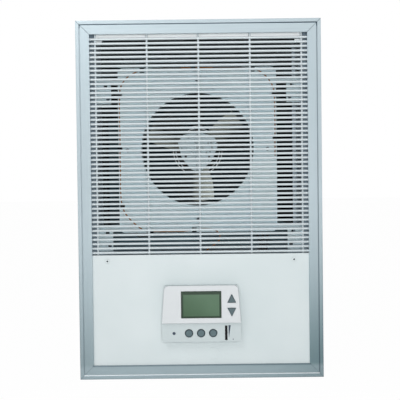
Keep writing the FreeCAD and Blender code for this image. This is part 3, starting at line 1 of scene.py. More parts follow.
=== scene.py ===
import math
import bmesh
import bpy
from mathutils import Euler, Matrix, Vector


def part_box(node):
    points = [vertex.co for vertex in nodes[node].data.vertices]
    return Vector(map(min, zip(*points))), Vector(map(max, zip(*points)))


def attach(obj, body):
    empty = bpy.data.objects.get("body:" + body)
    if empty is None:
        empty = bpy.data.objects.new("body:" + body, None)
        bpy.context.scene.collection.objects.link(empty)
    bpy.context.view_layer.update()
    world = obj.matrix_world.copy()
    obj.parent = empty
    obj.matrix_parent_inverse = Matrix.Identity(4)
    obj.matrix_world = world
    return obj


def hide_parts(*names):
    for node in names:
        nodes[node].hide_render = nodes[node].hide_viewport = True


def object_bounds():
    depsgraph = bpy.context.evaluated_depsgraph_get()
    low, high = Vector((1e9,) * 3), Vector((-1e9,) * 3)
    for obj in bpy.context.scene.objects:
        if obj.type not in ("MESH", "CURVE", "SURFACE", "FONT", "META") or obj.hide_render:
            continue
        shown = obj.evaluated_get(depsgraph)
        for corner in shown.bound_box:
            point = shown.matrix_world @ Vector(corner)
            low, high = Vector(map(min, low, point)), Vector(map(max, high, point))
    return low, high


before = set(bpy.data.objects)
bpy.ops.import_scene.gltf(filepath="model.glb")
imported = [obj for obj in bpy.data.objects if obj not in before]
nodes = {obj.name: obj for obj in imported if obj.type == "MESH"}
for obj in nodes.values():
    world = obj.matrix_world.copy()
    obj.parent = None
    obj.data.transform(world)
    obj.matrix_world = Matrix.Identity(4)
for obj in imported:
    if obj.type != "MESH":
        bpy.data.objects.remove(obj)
cad_low, cad_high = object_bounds()
bpy.context.scene.view_settings.view_transform = "Standard"

# Camera: straight in front of the heater, a touch above its middle, with the slight roll
# and downward tilt of the photograph.
camera_data = bpy.data.cameras.new("camera")
camera_data.sensor_width = 36.0
camera_data.lens = 69.47
camera = bpy.data.objects.new("camera", camera_data)
camera.location = (0.0, -1.420, 0.0283)
camera.rotation_euler = (math.radians(90.0 - 1.27), math.radians(0.693), math.radians(-0.016))
bpy.context.scene.collection.objects.link(camera)
bpy.context.scene.camera = camera


# Back box: a tray of zinc-coated sheet steel let into the wall. Its back, top and bottom are
# one folded piece, painted near-black inside as painted shade, with lighter patches of painted
# light, and two sides are spot-welded to it, each with a flange that lies on the wall.
class Wire:
    """A shader socket: a sum on it adds its Math nodes, and node() adds any other node."""

    def __init__(self, tree, socket=None):
        self.tree = tree
        self.socket = socket

    def node(self, kind, inputs, output=0, **settings):
        made = self.tree.nodes.new("ShaderNode" + kind)
        for key, setting in settings.items():
            setattr(made, key, setting)
        for key, given in inputs.items():
            if isinstance(given, Wire):
                self.tree.links.new(given.socket, made.inputs[key])
            else:
                made.inputs[key].default_value = given
        return Wire(self.tree, made.outputs[output])

    def __add__(self, other):
        return self.node("Math", {0: self, 1: other}, operation="ADD")

    def __sub__(self, other):
        return self.node("Math", {0: self, 1: other}, operation="SUBTRACT")

    def __rsub__(self, other):
        return self.node("Math", {0: other, 1: self}, operation="SUBTRACT")

    def __mul__(self, other):
        return self.node("Math", {0: self, 1: other}, operation="MULTIPLY")

    def __truediv__(self, other):
        return self.node("Math", {0: self, 1: other}, operation="DIVIDE")

    def __abs__(self):
        return self.node("Math", {0: self}, operation="ABSOLUTE")

    __radd__ = __add__
    __rmul__ = __mul__


def axes(place):
    """How far across, how far back and how far up a place is."""
    split = place.node("SeparateXYZ", {0: place}).socket.node
    return [Wire(place.tree, socket) for socket in split.outputs]


def larger(one, other):
    return one.node("Math", {0: one, 1: other}, operation="MAXIMUM")


def root(wire):
    return wire.node("Math", {0: wire}, operation="SQRT")


def sine(wire):
    return wire.node("Math", {0: wire}, operation="SINE")


def between(wire, low, high):
    """0 below low, 1 above high and smooth from one to the other."""
    return wire.node("MapRange", {0: wire, 1: low, 2: high}, interpolation_type="SMOOTHSTEP")


def tint(factor, low, high):
    """A colour that goes from low to high with the factor."""
    low, high = [(*end, 1.0) if isinstance(end, tuple) else end for end in (low, high)]
    return factor.node("Mix", {0: factor, 6: low, 7: high}, output=2, data_type="RGBA")


def grain(place, scale, detail=3.0, stretch=(1.0, 1.0, 1.0)):
    """Noise of so many lumps a metre, drawn out along an axis where stretch is small."""
    spread = place.node("Mapping", {"Vector": place, "Scale": stretch})
    return place.node("TexNoise", {"Vector": spread, "Scale": scale, "Detail": detail,
                                   "Roughness": 0.55})


def relief(height, depth):
    """A bump from a height of 0 to 1, so many metres deep."""
    return height.node("Bump", {"Height": height, "Distance": depth, "Strength": 1.0})


def finish(name, build, **fixed):
    """Makes a finish: build gives what varies over the surface, the rest is the same all over."""
    made = bpy.data.materials.new(name)
    made.use_nodes = True
    shader = made.node_tree.nodes["Principled BSDF"]
    place = Wire(made.node_tree).node("TexCoord", {}, output="Object")
    for label, given in {**fixed, **build(place)}.items():
        socket = shader.inputs[label.replace("_", " ")]
        if isinstance(given, Wire):
            made.node_tree.links.new(given.socket, socket)
        else:
            socket.default_value = given
    return made


def dress(name, material):
    """Gives a node of the frame its finish."""
    mesh = nodes[name].data
    if mesh.materials:
        for index in range(len(mesh.materials)):
            mesh.materials[index] = material
    else:
        mesh.materials.append(material)


def weld_row(place, spacing, forward):
    """The ring each spot weld has left, in an upright row so far in front of the back."""
    _, back, up = axes(place)
    count = up / spacing
    above = (count.node("Math", {0: count}, operation="FRACT") - 0.5) * spacing
    beside = back + forward
    reach = root(above * above + beside * beside)
    inner, middle, outer = 0.0018, 0.0024, 0.0031
    return between(reach, inner, middle) - between(reach, middle, outer)


def zinc_look(place):
    """The colour, the crystals and the relief of hot-dip zinc with spot welds."""
    cells = place.node("TexVoronoi", {"Vector": place, "Scale": 95.0}, output="Color")
    crystal = cells.node("SeparateColor", {0: cells}, output=0)
    cloud = grain(place, 14.0)
    streak = grain(place, 60.0, stretch=(1.0, 1.0, 0.08))
    weld_spacing, rear_row, front_row = 0.055, 0.006, 0.094
    weld = weld_row(place, weld_spacing, rear_row) + weld_row(place, weld_spacing, front_row)
    tone = crystal * 0.55 + cloud * 0.35 + streak * 0.2 - weld * 0.6
    return (tint(tone, (0.19, 0.225, 0.26), (0.44, 0.49, 0.54)), crystal,
            relief(crystal * 0.3 + streak - weld, 0.00008))


box_side, box_top, box_front = 0.178, 0.280, 0.100


def zinc_coat(place):
    """Zinc, bare outside the box. Inside, its faces are painted pale and less metallic as painted
    light; the front of the flange that lies on the wall is painted a flat blue-grey, and the left
    side near the back near-black, both painted shade.
    """
    metal, crystal, rough = zinc_look(place)
    across, back, _ = axes(place)
    # Painted light: the faces inside the box are painted pale and less metallic; painted shade:
    # the wall flange's front a flat blue-grey.
    room = 1.0 - between(abs(across), box_side - 0.0008, box_side - 0.0002)
    painted_light_and_shade = larger(room, 1.0 - between(back, -box_front - 0.0002, -box_front + 0.0001))
    # Painted shade: the left side is near-black inside near the back.
    left_fold = 1.0 - between(across, -0.160, -0.158)
    shade = left_fold * between(back, -0.012, -0.006) * room
    inside = between(back, -box_front + 0.0001, -box_front + 0.0015)
    metal = tint(painted_light_and_shade, metal, tint(inside, (0.20, 0.26, 0.31), (0.74, 0.86, 0.94)))
    return {"Base_Color": tint(shade, metal, (0.012, 0.014, 0.018)),
            "Metallic": 0.75 - painted_light_and_shade * 0.6,
            "Roughness": crystal * 0.22 + 0.34,
            "Normal": rough}


def wrapper_coat(place):
    """The folded piece: zinc outside; inside, painted near-black as painted shade, with lighter
    blue-grey patches of painted light, mottled a little by dust.
    """
    metal, crystal, rough = zinc_look(place)
    dust = between(grain(place, 9.0), 0.42, 0.72)
    across, back, up = axes(place)
    outside = larger(between(back, -0.0008, -0.0004),
                     between(abs(up), box_top - 0.0008, box_top - 0.0004))
    # Painted light: lighter blue-grey patches in the middle of the back and a strip on the left;
    # the rest of the inside is painted near-black as painted shade.
    below_deck = 1.0 - between(up, -0.050, -0.040)
    middle = 1.0 - between(abs(across) - below_deck * 0.034, 0.128, 0.140)
    middle = middle * (1.0 - between(up, -0.055, 0.0) * 0.8 - between(up, 0.17, 0.20) * 0.2)
    strip = between(across, -0.167, -0.165) - between(across, -0.150, -0.148)
    strip = strip * (between(up, -0.045, -0.040) - between(up, 0.140, 0.145)) * 0.55
    painted_light_patches = larger(middle, strip) * (0.6 + dust * 0.4)
    inside = tint(painted_light_patches, (0.003, 0.004, 0.006), (0.14, 0.23, 0.27))
    return {"Base_Color": tint(outside, inside, metal),
            "Metallic": outside * 0.75,
            "Roughness": crystal * outside * 0.22 + 0.55 - outside * 0.2,
            "Normal": rough}


def dark_enamel(place):
    peel = grain(place, 900.0, detail=2.0)
    dust = between(grain(place, 9.0), 0.42, 0.72)
    return {"Base_Color": tint(dust, (0.005, 0.006, 0.008), (0.016, 0.019, 0.024)),
            "Roughness": dust * 0.15 + 0.55,
            "Normal": relief(peel, 0.00006)}


zinc_finish = finish("zinc_coat", zinc_coat)
dark_finish = finish("dark_enamel", dark_enamel, Specular_IOR_Level=0.2)
dress("box_wrapper", finish("wrapper_coat", wrapper_coat, Specular_IOR_Level=0.1))
dress("box_side_left", zinc_finish)
dress("box_side_right", zinc_finish)


# Fan deck: a pressed plate with rounded corners and a drawn collar round the fan opening,
# sprayed with a pale blue-grey enamel that has a fine orange peel.
def add_piece(name, bm, body, material, replaced=()):
    """Makes a finished mesh into a piece that rides a body, and hides the nodes it replaces."""
    mesh = bpy.data.meshes.new(name)
    bm.to_mesh(mesh)
    bm.free()
    mesh.materials.append(material)
    piece = bpy.data.objects.new(name, mesh)
    bpy.context.scene.collection.objects.link(piece)
    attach(piece, body)
    if replaced:
        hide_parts(*replaced)
    return piece


def welded(name):
    """A copy of a node's mesh in which the points that lie on one another are one."""
    bm = bmesh.new()
    bm.from_mesh(nodes[name].data)
    bmesh.ops.remove_doubles(bm, verts=bm.verts, dist=0.000002)
    return bm


def softened(name, radius, segments, material, body="case", angle=35.0):
    """Stands in for a node with its sharp edges rounded over."""
    bm = welded(name)
    bmesh.ops.dissolve_limit(bm, angle_limit=math.radians(0.5), verts=bm.verts,
                             edges=bm.edges)
    sharp = [edge for edge in bm.edges if len(edge.link_faces) == 2
             and edge.calc_face_angle() > math.radians(angle)]
    bmesh.ops.bevel(bm, geom=sharp, offset=radius, offset_type="OFFSET", segments=segments,
                    profile=0.5, affect="EDGES", clamp_overlap=True, material=-1)
    bmesh.ops.triangulate(bm, faces=[face for face in bm.faces if len(face.verts) > 4])
    piece = add_piece(name + "_piece", bm, body, material, (name,))
    piece.data.shade_smooth()
    piece.data.set_sharp_from_angle(angle=math.radians(angle))
    even = piece.modifiers.new("even_faces", "WEIGHTED_NORMAL")
    even.keep_sharp = True


def centre_of(name):
    """The middle of a node."""
    low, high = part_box(name)
    return (low + high) / 2


def round_axis(place, centre):
    """How far across, how far up and how far in all a place is from an axis that runs back."""
    across, _, up = axes(place)
    across, up = across - centre.x, up - centre.z
    return across, up, root(across * across + up * up)


shaft = centre_of("motor_shaft")
opening = 0.0970


def deck_enamel(place):
    peel = grain(place, 700.0, detail=2.0)
    haze = grain(place, 11.0)
    _, up, reach = round_axis(place, shaft)
    # Painted shade: the upper inside of the collar is painted dark.
    collar_shade = 1.0 - between(reach, opening + 0.0004, opening + 0.0012)
    collar_shade = collar_shade * between(up / reach, -0.35, 0.45)
    sprayed = tint(between(haze, 0.3, 0.75), (0.76, 0.93, 0.99), (0.85, 0.98, 1.0))
    return {"Base_Color": tint(collar_shade, sprayed, (0.05, 0.085, 0.09)),
            "Roughness": haze * 0.18 + 0.36,
            "Normal": relief(peel, 0.00005)}


deck_finish = finish("deck_enamel", deck_enamel, Coat_Weight=0.15)
dress("fan_deck", deck_finish)


# Corner brackets: four flat plates of the deck's steel between the deck and the box sides,
# dipped in a paler enamel.
def enamel(low, high):
    """A smooth enamel, in tones from low to high."""
    def build(place):
        peel = grain(place, 800.0, detail=2.0)
        haze = grain(place, 15.0)
        return {"Base_Color": tint(haze, low, high),
                "Roughness": haze * 0.15 + 0.35,
                "Normal": relief(peel, 0.00005)}
    return build


softened("corner_brackets", 0.0003, 2,
         finish("bracket_enamel", enamel((0.76, 0.93, 0.98), (0.86, 0.98, 1.0))))


# Deck and bracket screws: blued thread-forming screws with pan heads and a cross recess,
# driven from the front. The screws hidden inside the heater are zinc-plated.
def coated(scale, low, high, roughness, depth=0.00002):
    """A screw's thin coat, worn in so many spots a metre, in tones from low to high."""
    def build(place):
        wear = grain(place, scale)
        return {"Base_Color": tint(wear, low, high),
                "Roughness": wear * 0.2 + roughness,
                "Normal": relief(wear, depth)}
    return build


def loose_boxes(name):
    """The lowest and highest corner of each separate solid of a node."""
    bm = welded(name)
    left = set(bm.verts)
    boxes = []
    while left:
        island = set()
        edge_of_island = [left.pop()]
        while edge_of_island:
            vert = edge_of_island.pop()
            island.add(vert)
            near = [edge.other_vert(vert) for edge in vert.link_edges]
            edge_of_island += [other for other in near if other in left]
            left.difference_update(near)
        places = [vert.co.copy() for vert in island]
        boxes.append((Vector(min(axis) for axis in zip(*places)),
                      Vector(max(axis) for axis in zip(*places))))
    bm.free()
    return boxes


def cross_recess_shades(name, size, material):
    """A thin dark cross on the head of each screw of a node that is driven from the front:
    painted shade for its cross recess.
    """
    depth, proud, arm_width = 0.0002, 0.00004, size * 0.24
    bm = bmesh.new()
    for low, high in loose_boxes(name):
        middle = (low + high) / 2
        driven = math.sin(middle.x * 900.0 + middle.z * 700.0)
        for arm in (0.0, math.pi / 2):
            bar = bmesh.ops.create_cube(bm, size=1.0)["verts"]
            bmesh.ops.scale(bm, vec=(size, depth, arm_width), verts=bar)
            bmesh.ops.rotate(bm, cent=(0.0, 0.0, 0.0), verts=bar,
                             matrix=Euler((0.0, driven + arm, 0.0)).to_matrix())
            bmesh.ops.translate(bm, vec=(middle.x, low.y - proud, middle.z), verts=bar)
    add_piece(name + "_recesses", bm, "case", material)


plating = coated(1500.0, (0.46, 0.47, 0.50), (0.62, 0.63, 0.65), 0.24)
blacking = coated(900.0, (0.010, 0.010, 0.012), (0.035, 0.035, 0.038), 0.4, depth=0.00003)
blueing = coated(1100.0, (0.055, 0.095, 0.14), (0.12, 0.17, 0.23), 0.35)
plated_finish = finish("zinc_plate", plating, Metallic=0.9)
black_steel = finish("black_steel", blacking, Metallic=0.4)
blued_steel = finish("blued_steel", blueing, Metallic=0.4)
softened("deck_screws", 0.0005, 3, blued_steel)
# The cross recesses are thin dark crosses laid on the heads: painted shade.
cross_recess_shades("deck_screws", 0.0056, black_steel)


# Front frame: four lengths of extruded aluminium, mitred at the corners and held by keys
# inside. Each has a raised outer rim, a groove and a flat inner face, brushed along its length
# and anodised clear. The groove is painted dark as painted shade, and bright along the bottom
# rail as a painted highlight; the outer edges, a line along the panel's foot and the lower and
# right parts are painted darker as painted shade.
rim_corner = Vector((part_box("frame_right_rail")[1].x, 0.0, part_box("frame_top_rail")[1].z))
rim_width, groove_width, rail_width = 0.0060, 0.0016, 0.0230


def brushed(length_axis):
    """Aluminium brushed along its length, with dark mitres. The groove, the outer edges, a line
    along the panel and the foot and right side are painted darker as painted shade, and the
    bottom groove bright as a painted highlight.
    """
    def build(place):
        stretch = tuple(0.012 if axis == length_axis else 1.0 for axis in range(3))
        fine = grain(place, 2600.0, detail=2.0, stretch=stretch)
        broad = grain(place, 420.0, detail=2.0, stretch=stretch)
        handled = grain(place, 7.0)
        tone = fine * 0.5 + broad * 0.3 + handled * 0.2
        across, back, up = axes(place)
        # Painted shade: the rails darken towards the foot, more on the right.
        painted_foot_shade = (1.0 - between(up, -0.33, 0.02)) * (0.6 + between(across, -0.05, 0.22) * 0.4)
        painted_foot_shade = painted_foot_shade * (0.6 + between(up, -0.285, -0.276) * 0.4 + between(across, 0.1, 0.2) * 0.1)
        face = tint(tone, (0.43, 0.53, 0.575), (0.63, 0.72, 0.765))
        face = tint(painted_foot_shade, face, (0.20, 0.29, 0.315))
        side = rim_corner.x - abs(across)
        end = rim_corner.z - abs(up)
        inward = side.node("Math", {0: side, 1: end}, operation="MINIMUM")
        groove_end = rim_width + groove_width
        groove = between(inward, rim_width - 0.0002, rim_width + 0.0001)
        groove = groove - between(inward, groove_end - 0.0001, groove_end + 0.0002)
        groove = groove * between(back, -0.1192, -0.1188)
        # Painted shade in the groove, strongest along the top and on the right, and a painted
        # highlight in the bottom rail's groove.
        shade = between(up, 0.288, 0.292) * 0.6 + between(across, 0.10, 0.19) * 0.35 + 0.2
        lit = 1.0 - between(up, -0.2955, -0.2940)
        groove_shade_and_glint = tint(lit, (0.045, 0.075, 0.11), (0.90, 0.94, 0.96))
        face = tint(groove * larger(shade, lit), face, groove_shade_and_glint)
        mitre = 1.0 - between(abs(side - end), 0.0004, 0.0010)
        mitre = mitre * (0.25 + between(up, 0.0, 0.1) * 0.3)
        # Painted shade along the outer edges, deeper where the foot is shaded; below, a painted
        # shadow of the panel along the bottom rail's inner edge.
        edge = (1.0 - between(inward, 0.0004, 0.0016)) * (painted_foot_shade * 0.6 + 0.1)
        panel_shadow_line = between(inward, rail_width - 0.0024, rail_width - 0.0014)
        panel_shadow_line = panel_shadow_line * (1.0 - between(up, -0.2790, -0.2780)) * 0.55
        lines = larger(mitre, larger(edge, panel_shadow_line))
        return {"Base_Color": tint(lines, face, (0.09, 0.13, 0.16)),
                "Roughness": fine * 0.16 + handled * 0.1 + 0.27,
                "Normal": relief(fine + broad * 0.4, 0.000025)}
    return build


brushed_across = finish("brushed_across", brushed(0), Metallic=0.9)
brushed_upright = finish("brushed_upright", brushed(2), Metallic=0.9)
for edge, rail_finish in (("top", brushed_across), ("bottom", brushed_across),
                          ("left", brushed_upright), ("right", brushed_upright)):
    softened("frame_" + edge + "_rail", 0.0003, 2, rail_finish)
dress("frame_corner_keys", plated_finish)


# Hanger: a folded steel strip on the top of the box, with an ear at each end, that the frame
# hangs on. It is enamelled white.
white_finish = finish("white_enamel", enamel((0.92, 0.96, 0.97), (0.97, 0.99, 0.99)))
dress("hanger_strip", white_finish)


# Grille: 49 thin aluminium bars with rounded noses, threaded on five round cross rods
# between two side rails, anodised bright.
def bright_bar(place):
    fine = grain(place, 2400.0, detail=2.0, stretch=(0.01, 1.0, 1.0))
    cloud = grain(place, 6.0)
    _, _, up = axes(place)
    # Painted light: the bars are painted lighter towards the top.
    tone = fine * 0.5 + cloud * 0.3 + between(up, -0.10, 0.30) * 0.35
    return {"Base_Color": tint(tone, (0.50, 0.56, 0.585), (0.69, 0.75, 0.775)),
            "Roughness": fine * 0.14 + 0.3,
            "Normal": relief(fine, 0.00002)}


bar_finish = finish("bright_bar", bright_bar, Metallic=0.55)
softened("grille_bars", 0.0003, 2, bar_finish, angle=25.0)
dress("grille_rods", bar_finish)
for side in ("left", "right"):
    softened("grille_rail_" + side, 0.0003, 2, brushed_upright)


# Front panel: sheet steel with a return along its top, powder-coated pale grey-white, and
# two socket screws through it into the control shelf.
def panel_enamel(place):
    peel = grain(place, 620.0, detail=3.0)
    haze = grain(place, 5.0)
    return {"Base_Color": tint(between(haze, 0.3, 0.7), (0.515, 0.575, 0.585),
                               (0.57, 0.62, 0.63)),
            "Roughness": peel * 0.12 + 0.42,
            "Normal": relief(peel, 0.00006)}


panel_finish = finish("panel_enamel", panel_enamel)
softened("front_panel", 0.0004, 2, panel_finish)
screw_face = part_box("panel_screws")[0].y


def enamelled_socket(place):
    peel = grain(place, 620.0, detail=3.0)
    _, back, _ = axes(place)
    # The socket is near-black inside: bare steel and painted shade.
    socket_shade = between(back, screw_face + 0.0003, screw_face + 0.0006)
    return {"Base_Color": tint(socket_shade, (0.57, 0.63, 0.64), (0.01, 0.015, 0.02)),
            "Roughness": peel * 0.12 + 0.42,
            "Normal": relief(peel, 0.00004)}


softened("panel_screws", 0.0004, 3, finish("enamelled_socket", enamelled_socket))


# Thermostat: a white moulded housing on a base plate, with a raised fascia over its upper
# part and a control strip below. The housing and base are given a greyer copy of the fascia's
# moulding, painted shade for the strip under the fascia. The mouldings have a fine spark-eroded
# grain.
def moulded(low, high, roughness):
    """A moulding's grain, in tones from low to high."""
    def build(place):
        spark = grain(place, 2200.0, detail=2.0)
        flow = grain(place, 18.0)
        return {"Base_Color": tint(flow * 0.7 + spark * 0.3, low, high),
                "Roughness": spark * 0.14 + roughness,
                "Normal": relief(spark, 0.00003)}
    return build


white_plastic = moulded((0.51, 0.54, 0.555), (0.575, 0.595, 0.61), 0.34)
# A greyer copy of the white moulding: painted shade for the housing's strip.
grey_plastic = moulded((0.425, 0.48, 0.49), (0.475, 0.53, 0.54), 0.38)
white_moulding = finish("white_moulding", white_plastic)
grey_moulding = finish("grey_moulding", grey_plastic)
softened("thermostat_base", 0.0005, 2, grey_moulding)
softened("thermostat_housing", 0.0012, 4, grey_moulding)
softened("thermostat_fascia", 0.0016, 5, white_moulding)
dress("badge_blank", panel_finish)
dress("thermostat_screws", plated_finish)


# Marks on the strip: beside the slider a narrow wedge that says more and less, with a dot at
# its foot, printed in dark blue, and a disc of the same ink behind the reset pin, painted shade
# for the pin's recess.
ink_for_print_and_shade = finish("ink_for_print_and_shade", moulded((0.022, 0.034, 0.055), (0.040, 0.056, 0.085), 0.45))
ink_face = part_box("thermostat_housing")[0].y - 0.00006
knob_low, knob_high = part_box("slider_knob")
pin = centre_of("reset_pin")
ink_bm = bmesh.new()
wedge_top, wedge_foot = knob_high.z + 0.0092, knob_low.z - 0.0030
ink_bm.faces.new([ink_bm.verts.new((x, ink_face, z)) for x, z in (
    (0.0453, wedge_top), (0.0490, wedge_top), (0.0462, wedge_foot), (0.0456, wedge_foot))])
# The small disc is a printed dot; the large one behind the reset pin is painted shade for its
# recess.
for x, z, radius, segments in ((0.0529, knob_low.z - 0.0069, 0.0009, 20),
                               (pin.x, pin.z, 0.0026, 28)):
    disc = bmesh.ops.create_circle(ink_bm, cap_ends=True, segments=segments,
                                   radius=radius)["verts"]
    bmesh.ops.rotate(ink_bm, cent=(0.0, 0.0, 0.0), verts=disc,
                     matrix=Euler((math.pi / 2, 0.0, 0.0)).to_matrix())
    bmesh.ops.translate(ink_bm, vec=(x, ink_face, z), verts=disc)
bmesh.ops.recalc_face_normals(ink_bm, faces=ink_bm.faces)
marks_and_shade = add_piece("slider_marks", ink_bm, "case", ink_for_print_and_shade)
thick = marks_and_shade.modifiers.new("ink", "SOLIDIFY")
thick.thickness = 0.00004
thick.offset = 0.0


# Display: a liquid-crystal glass in a dark frame, grey-green and lit a little unevenly,
# behind a clear lens. The frame is painted on the glass's edges, wider at the top, partly as
# painted shade of the recess.
def liquid_crystal(place):
    low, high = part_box("display_lens")
    across, _, up = axes(place)
    side = abs(across - (low.x + high.x) / 2)
    lit = grain(place, 30.0) * 0.5 + between(across + up, low.x + high.z - 0.05, high.x + high.z)
    glass = tint(lit, (0.030, 0.074, 0.034), (0.070, 0.134, 0.080))
    half = (high.x - low.x) / 2
    # The dark frame round the glass, wider at the top: the display's own frame and painted shade
    # from its recess.
    rim = between(side, half - 0.0042, half - 0.0026)
    ends = between(up, high.z - 0.0064, high.z - 0.0046)
    ends = ends + (1.0 - between(up, low.z + 0.0024, low.z + 0.0040))
    mesh_lines = grain(place, 5200.0, detail=1.0, stretch=(1.0, 1.0, 0.2))
    return {"Base_Color": tint(larger(rim, ends), glass, (0.014, 0.034, 0.018)),
            "Roughness": mesh_lines * 0.08 + 0.2,
            "Normal": relief(mesh_lines, 0.00001)}


display_finish = finish("liquid_crystal", liquid_crystal, Coat_Weight=0.2, Coat_Roughness=0.1,
                        Specular_IOR_Level=0.3)
dark_moulding = finish("dark_moulding", moulded((0.02, 0.024, 0.026), (0.05, 0.055, 0.06), 0.3))
dress("display_module", dark_moulding)
softened("display_lens", 0.0004, 2, display_finish)


# Board and switches: a green laminate that carries the display, with small tact switches
# under the keys.
laminate = finish("laminate", moulded((0.01, 0.09, 0.03), (0.03, 0.16, 0.06), 0.3))
black_plastic = moulded((0.007, 0.007, 0.008), (0.016, 0.016, 0.018), 0.45)
black_moulding = finish("black_moulding", black_plastic, Specular_IOR_Level=0.2)
dress("thermostat_board", laminate)
dress("board_switches", black_moulding)


# Keys: two triangles beside the display and three round keys on the strip, all moulded in
# blue-grey, with a recessed black reset pin and a black slider knob in its slot.
key_moulding = finish("key_moulding", moulded((0.055, 0.085, 0.095), (0.10, 0.14, 0.155), 0.42))
for key in ("up_key", "down_key"):
    softened(key, 0.0006, 3, key_moulding, body=key + "_body")
key_radius = 0.0067


def rim_shaded(key):
    """The keys' plastic, painted darker round the rim of a round key as painted shade."""
    def build(place):
        _, _, reach = round_axis(place, centre_of(key))
        rim = between(reach, key_radius - 0.0021, key_radius - 0.0009)
        spark = grain(place, 2200.0, detail=2.0)
        return {"Base_Color": tint(rim, (0.085, 0.125, 0.138), (0.022, 0.040, 0.048)),
                "Roughness": spark * 0.14 + 0.42,
                "Normal": relief(spark, 0.00003)}
    return build


for key in ("round_key_one", "round_key_two", "round_key_three"):
    softened(key, 0.0009, 5, finish(key + "_plastic", rim_shaded(key)),
             body=key + "_body")
softened("reset_pin", 0.0002, 2, black_moulding, body="reset_pin_body")
softened("slider_knob", 0.0004, 3, black_moulding, body="slider_body")


# Control shelf: a zinc-coated tray that parts the fan from the controls. Its front lip
# takes the panel screws and the disconnect switch, and two rubber grommets line its holes.
softened("control_shelf", 0.0003, 2, zinc_finish)
rubber = finish("rubber", moulded((0.010, 0.010, 0.010), (0.022, 0.022, 0.022), 0.55))
softened("shelf_grommets", 0.0003, 2, rubber)
softened("disconnect_switch", 0.0006, 3, black_moulding)
softened("disconnect_rocker", 0.0005, 3, dark_moulding, body="rocker_body")


# Motor: a round shaded-pole can on a steel strap behind the fan. Its laminated core sits
# between black enamelled bells, the front one with two white beads, and has a ring of
# enamelled copper turns at each end, wound layer on layer.
def laminations(place):
    _, back, _ = axes(place)
    layer = sine(back * 12500.0)
    return {"Base_Color": tint(layer * 0.5 + 0.5, (0.10, 0.10, 0.11), (0.26, 0.26, 0.28)),
            "Roughness": layer * 0.1 + 0.45,
            "Normal": relief(layer * 0.5 + 0.5, 0.00005)}


def wound_copper(place):
    turns = place.node("TexWave", {"Vector": place, "Scale": 400.0, "Distortion": 2.0,
                                   "Detail": 1.0}, wave_type="RINGS", rings_direction="Y")
    return {"Base_Color": tint(turns, (0.06, 0.022, 0.010), (0.20, 0.085, 0.04)),
            "Roughness": turns * 0.1 + 0.25,
            "Normal": relief(turns, 0.0002)}


core_finish = finish("laminations", laminations, Metallic=0.6)
copper_winding = finish("wound_copper", wound_copper, Metallic=0.7)
bronze = finish("bronze", moulded((0.30, 0.20, 0.09), (0.45, 0.31, 0.14), 0.3), Metallic=0.8)
softened("motor_strap", 0.0004, 2, dark_finish)
softened("motor_rear_bell", 0.0006, 3, dark_finish)
softened("motor_front_bell", 0.0006, 3, dark_finish)
bead_bm = bmesh.new()
bead = centre_of("motor_front_bell")
bead.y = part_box("motor_front_bell")[0].y
for bead_radius in (0.0386, 0.0432):
    section = bmesh.ops.create_circle(bead_bm, segments=10, radius=0.0007)["verts"]
    bmesh.ops.translate(bead_bm, vec=bead + Vector((bead_radius, 0.0, 0.0)), verts=section)
    loop = [edge for edge in bead_bm.edges if edge.verts[0] in section]
    bmesh.ops.spin(bead_bm, geom=loop, cent=bead, axis=(0.0, 1.0, 0.0),
                   angle=2 * math.pi, steps=96, use_merge=True)
bmesh.ops.recalc_face_normals(bead_bm, faces=bead_bm.faces)
beads = add_piece("bell_beads", bead_bm, "case", white_finish)
beads.data.shade_smooth()
dress("motor_stator", core_finish)


def wire_piece(name, runs, material, replaced, radius, sides, smoothness):
    """Wires along runs of points, each with its swelling, that stand in for a node."""
    curve = bpy.data.curves.new(name, "CURVE")
    curve.dimensions = "3D"
    curve.bevel_depth = radius
    curve.bevel_resolution = sides
    curve.use_fill_caps = True
    for run in runs:
        spline = curve.splines.new("NURBS")
        spline.points.add(len(run) - 1)
        for point, (place, swelling) in zip(spline.points, run):
            point.co = (*place, 1.0)
            point.radius = swelling
        spline.order_u = 3
        spline.use_endpoint_u = True
        spline.resolution_u = smoothness
    curve.materials.append(material)
    piece = bpy.data.objects.new(name, curve)
    bpy.context.scene.collection.objects.link(piece)
    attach(piece, "case")
    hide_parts(replaced)


def wound_ring(low, high):
    """The points of one wire wound to and fro in layers that fill a ring."""
    layers, turns, steps, wall = 10, 4, 24, 0.0008
    inner, outer = 0.0254, (high.x - low.x) / 2 - wall
    run = []
    for count in range(layers * turns * steps + 1):
        layer = min(count // (turns * steps), layers - 1)
        done = count / (turns * steps) - layer
        reach = inner + (outer - inner) * layer / (layers - 1)
        forward = done if layer % 2 == 0 else 1.0 - done
        turn = 2 * math.pi * count / steps
        run.append((((low.x + high.x) / 2 + reach * math.cos(turn),
                     low.y + wall + (high.y - low.y - 2 * wall) * forward,
                     (low.z + high.z) / 2 + reach * math.sin(turn)), 1.0))
    return run


wound_runs = [wound_ring(low, high) for low, high in loose_boxes("motor_windings")]
wire_piece("end_turns", wound_runs, copper_winding, "motor_windings",
           radius=0.00066, sides=1, smoothness=2)
dress("motor_bearings", bronze)
dress("motor_rotor", core_finish)
dress("motor_shaft", plated_finish)


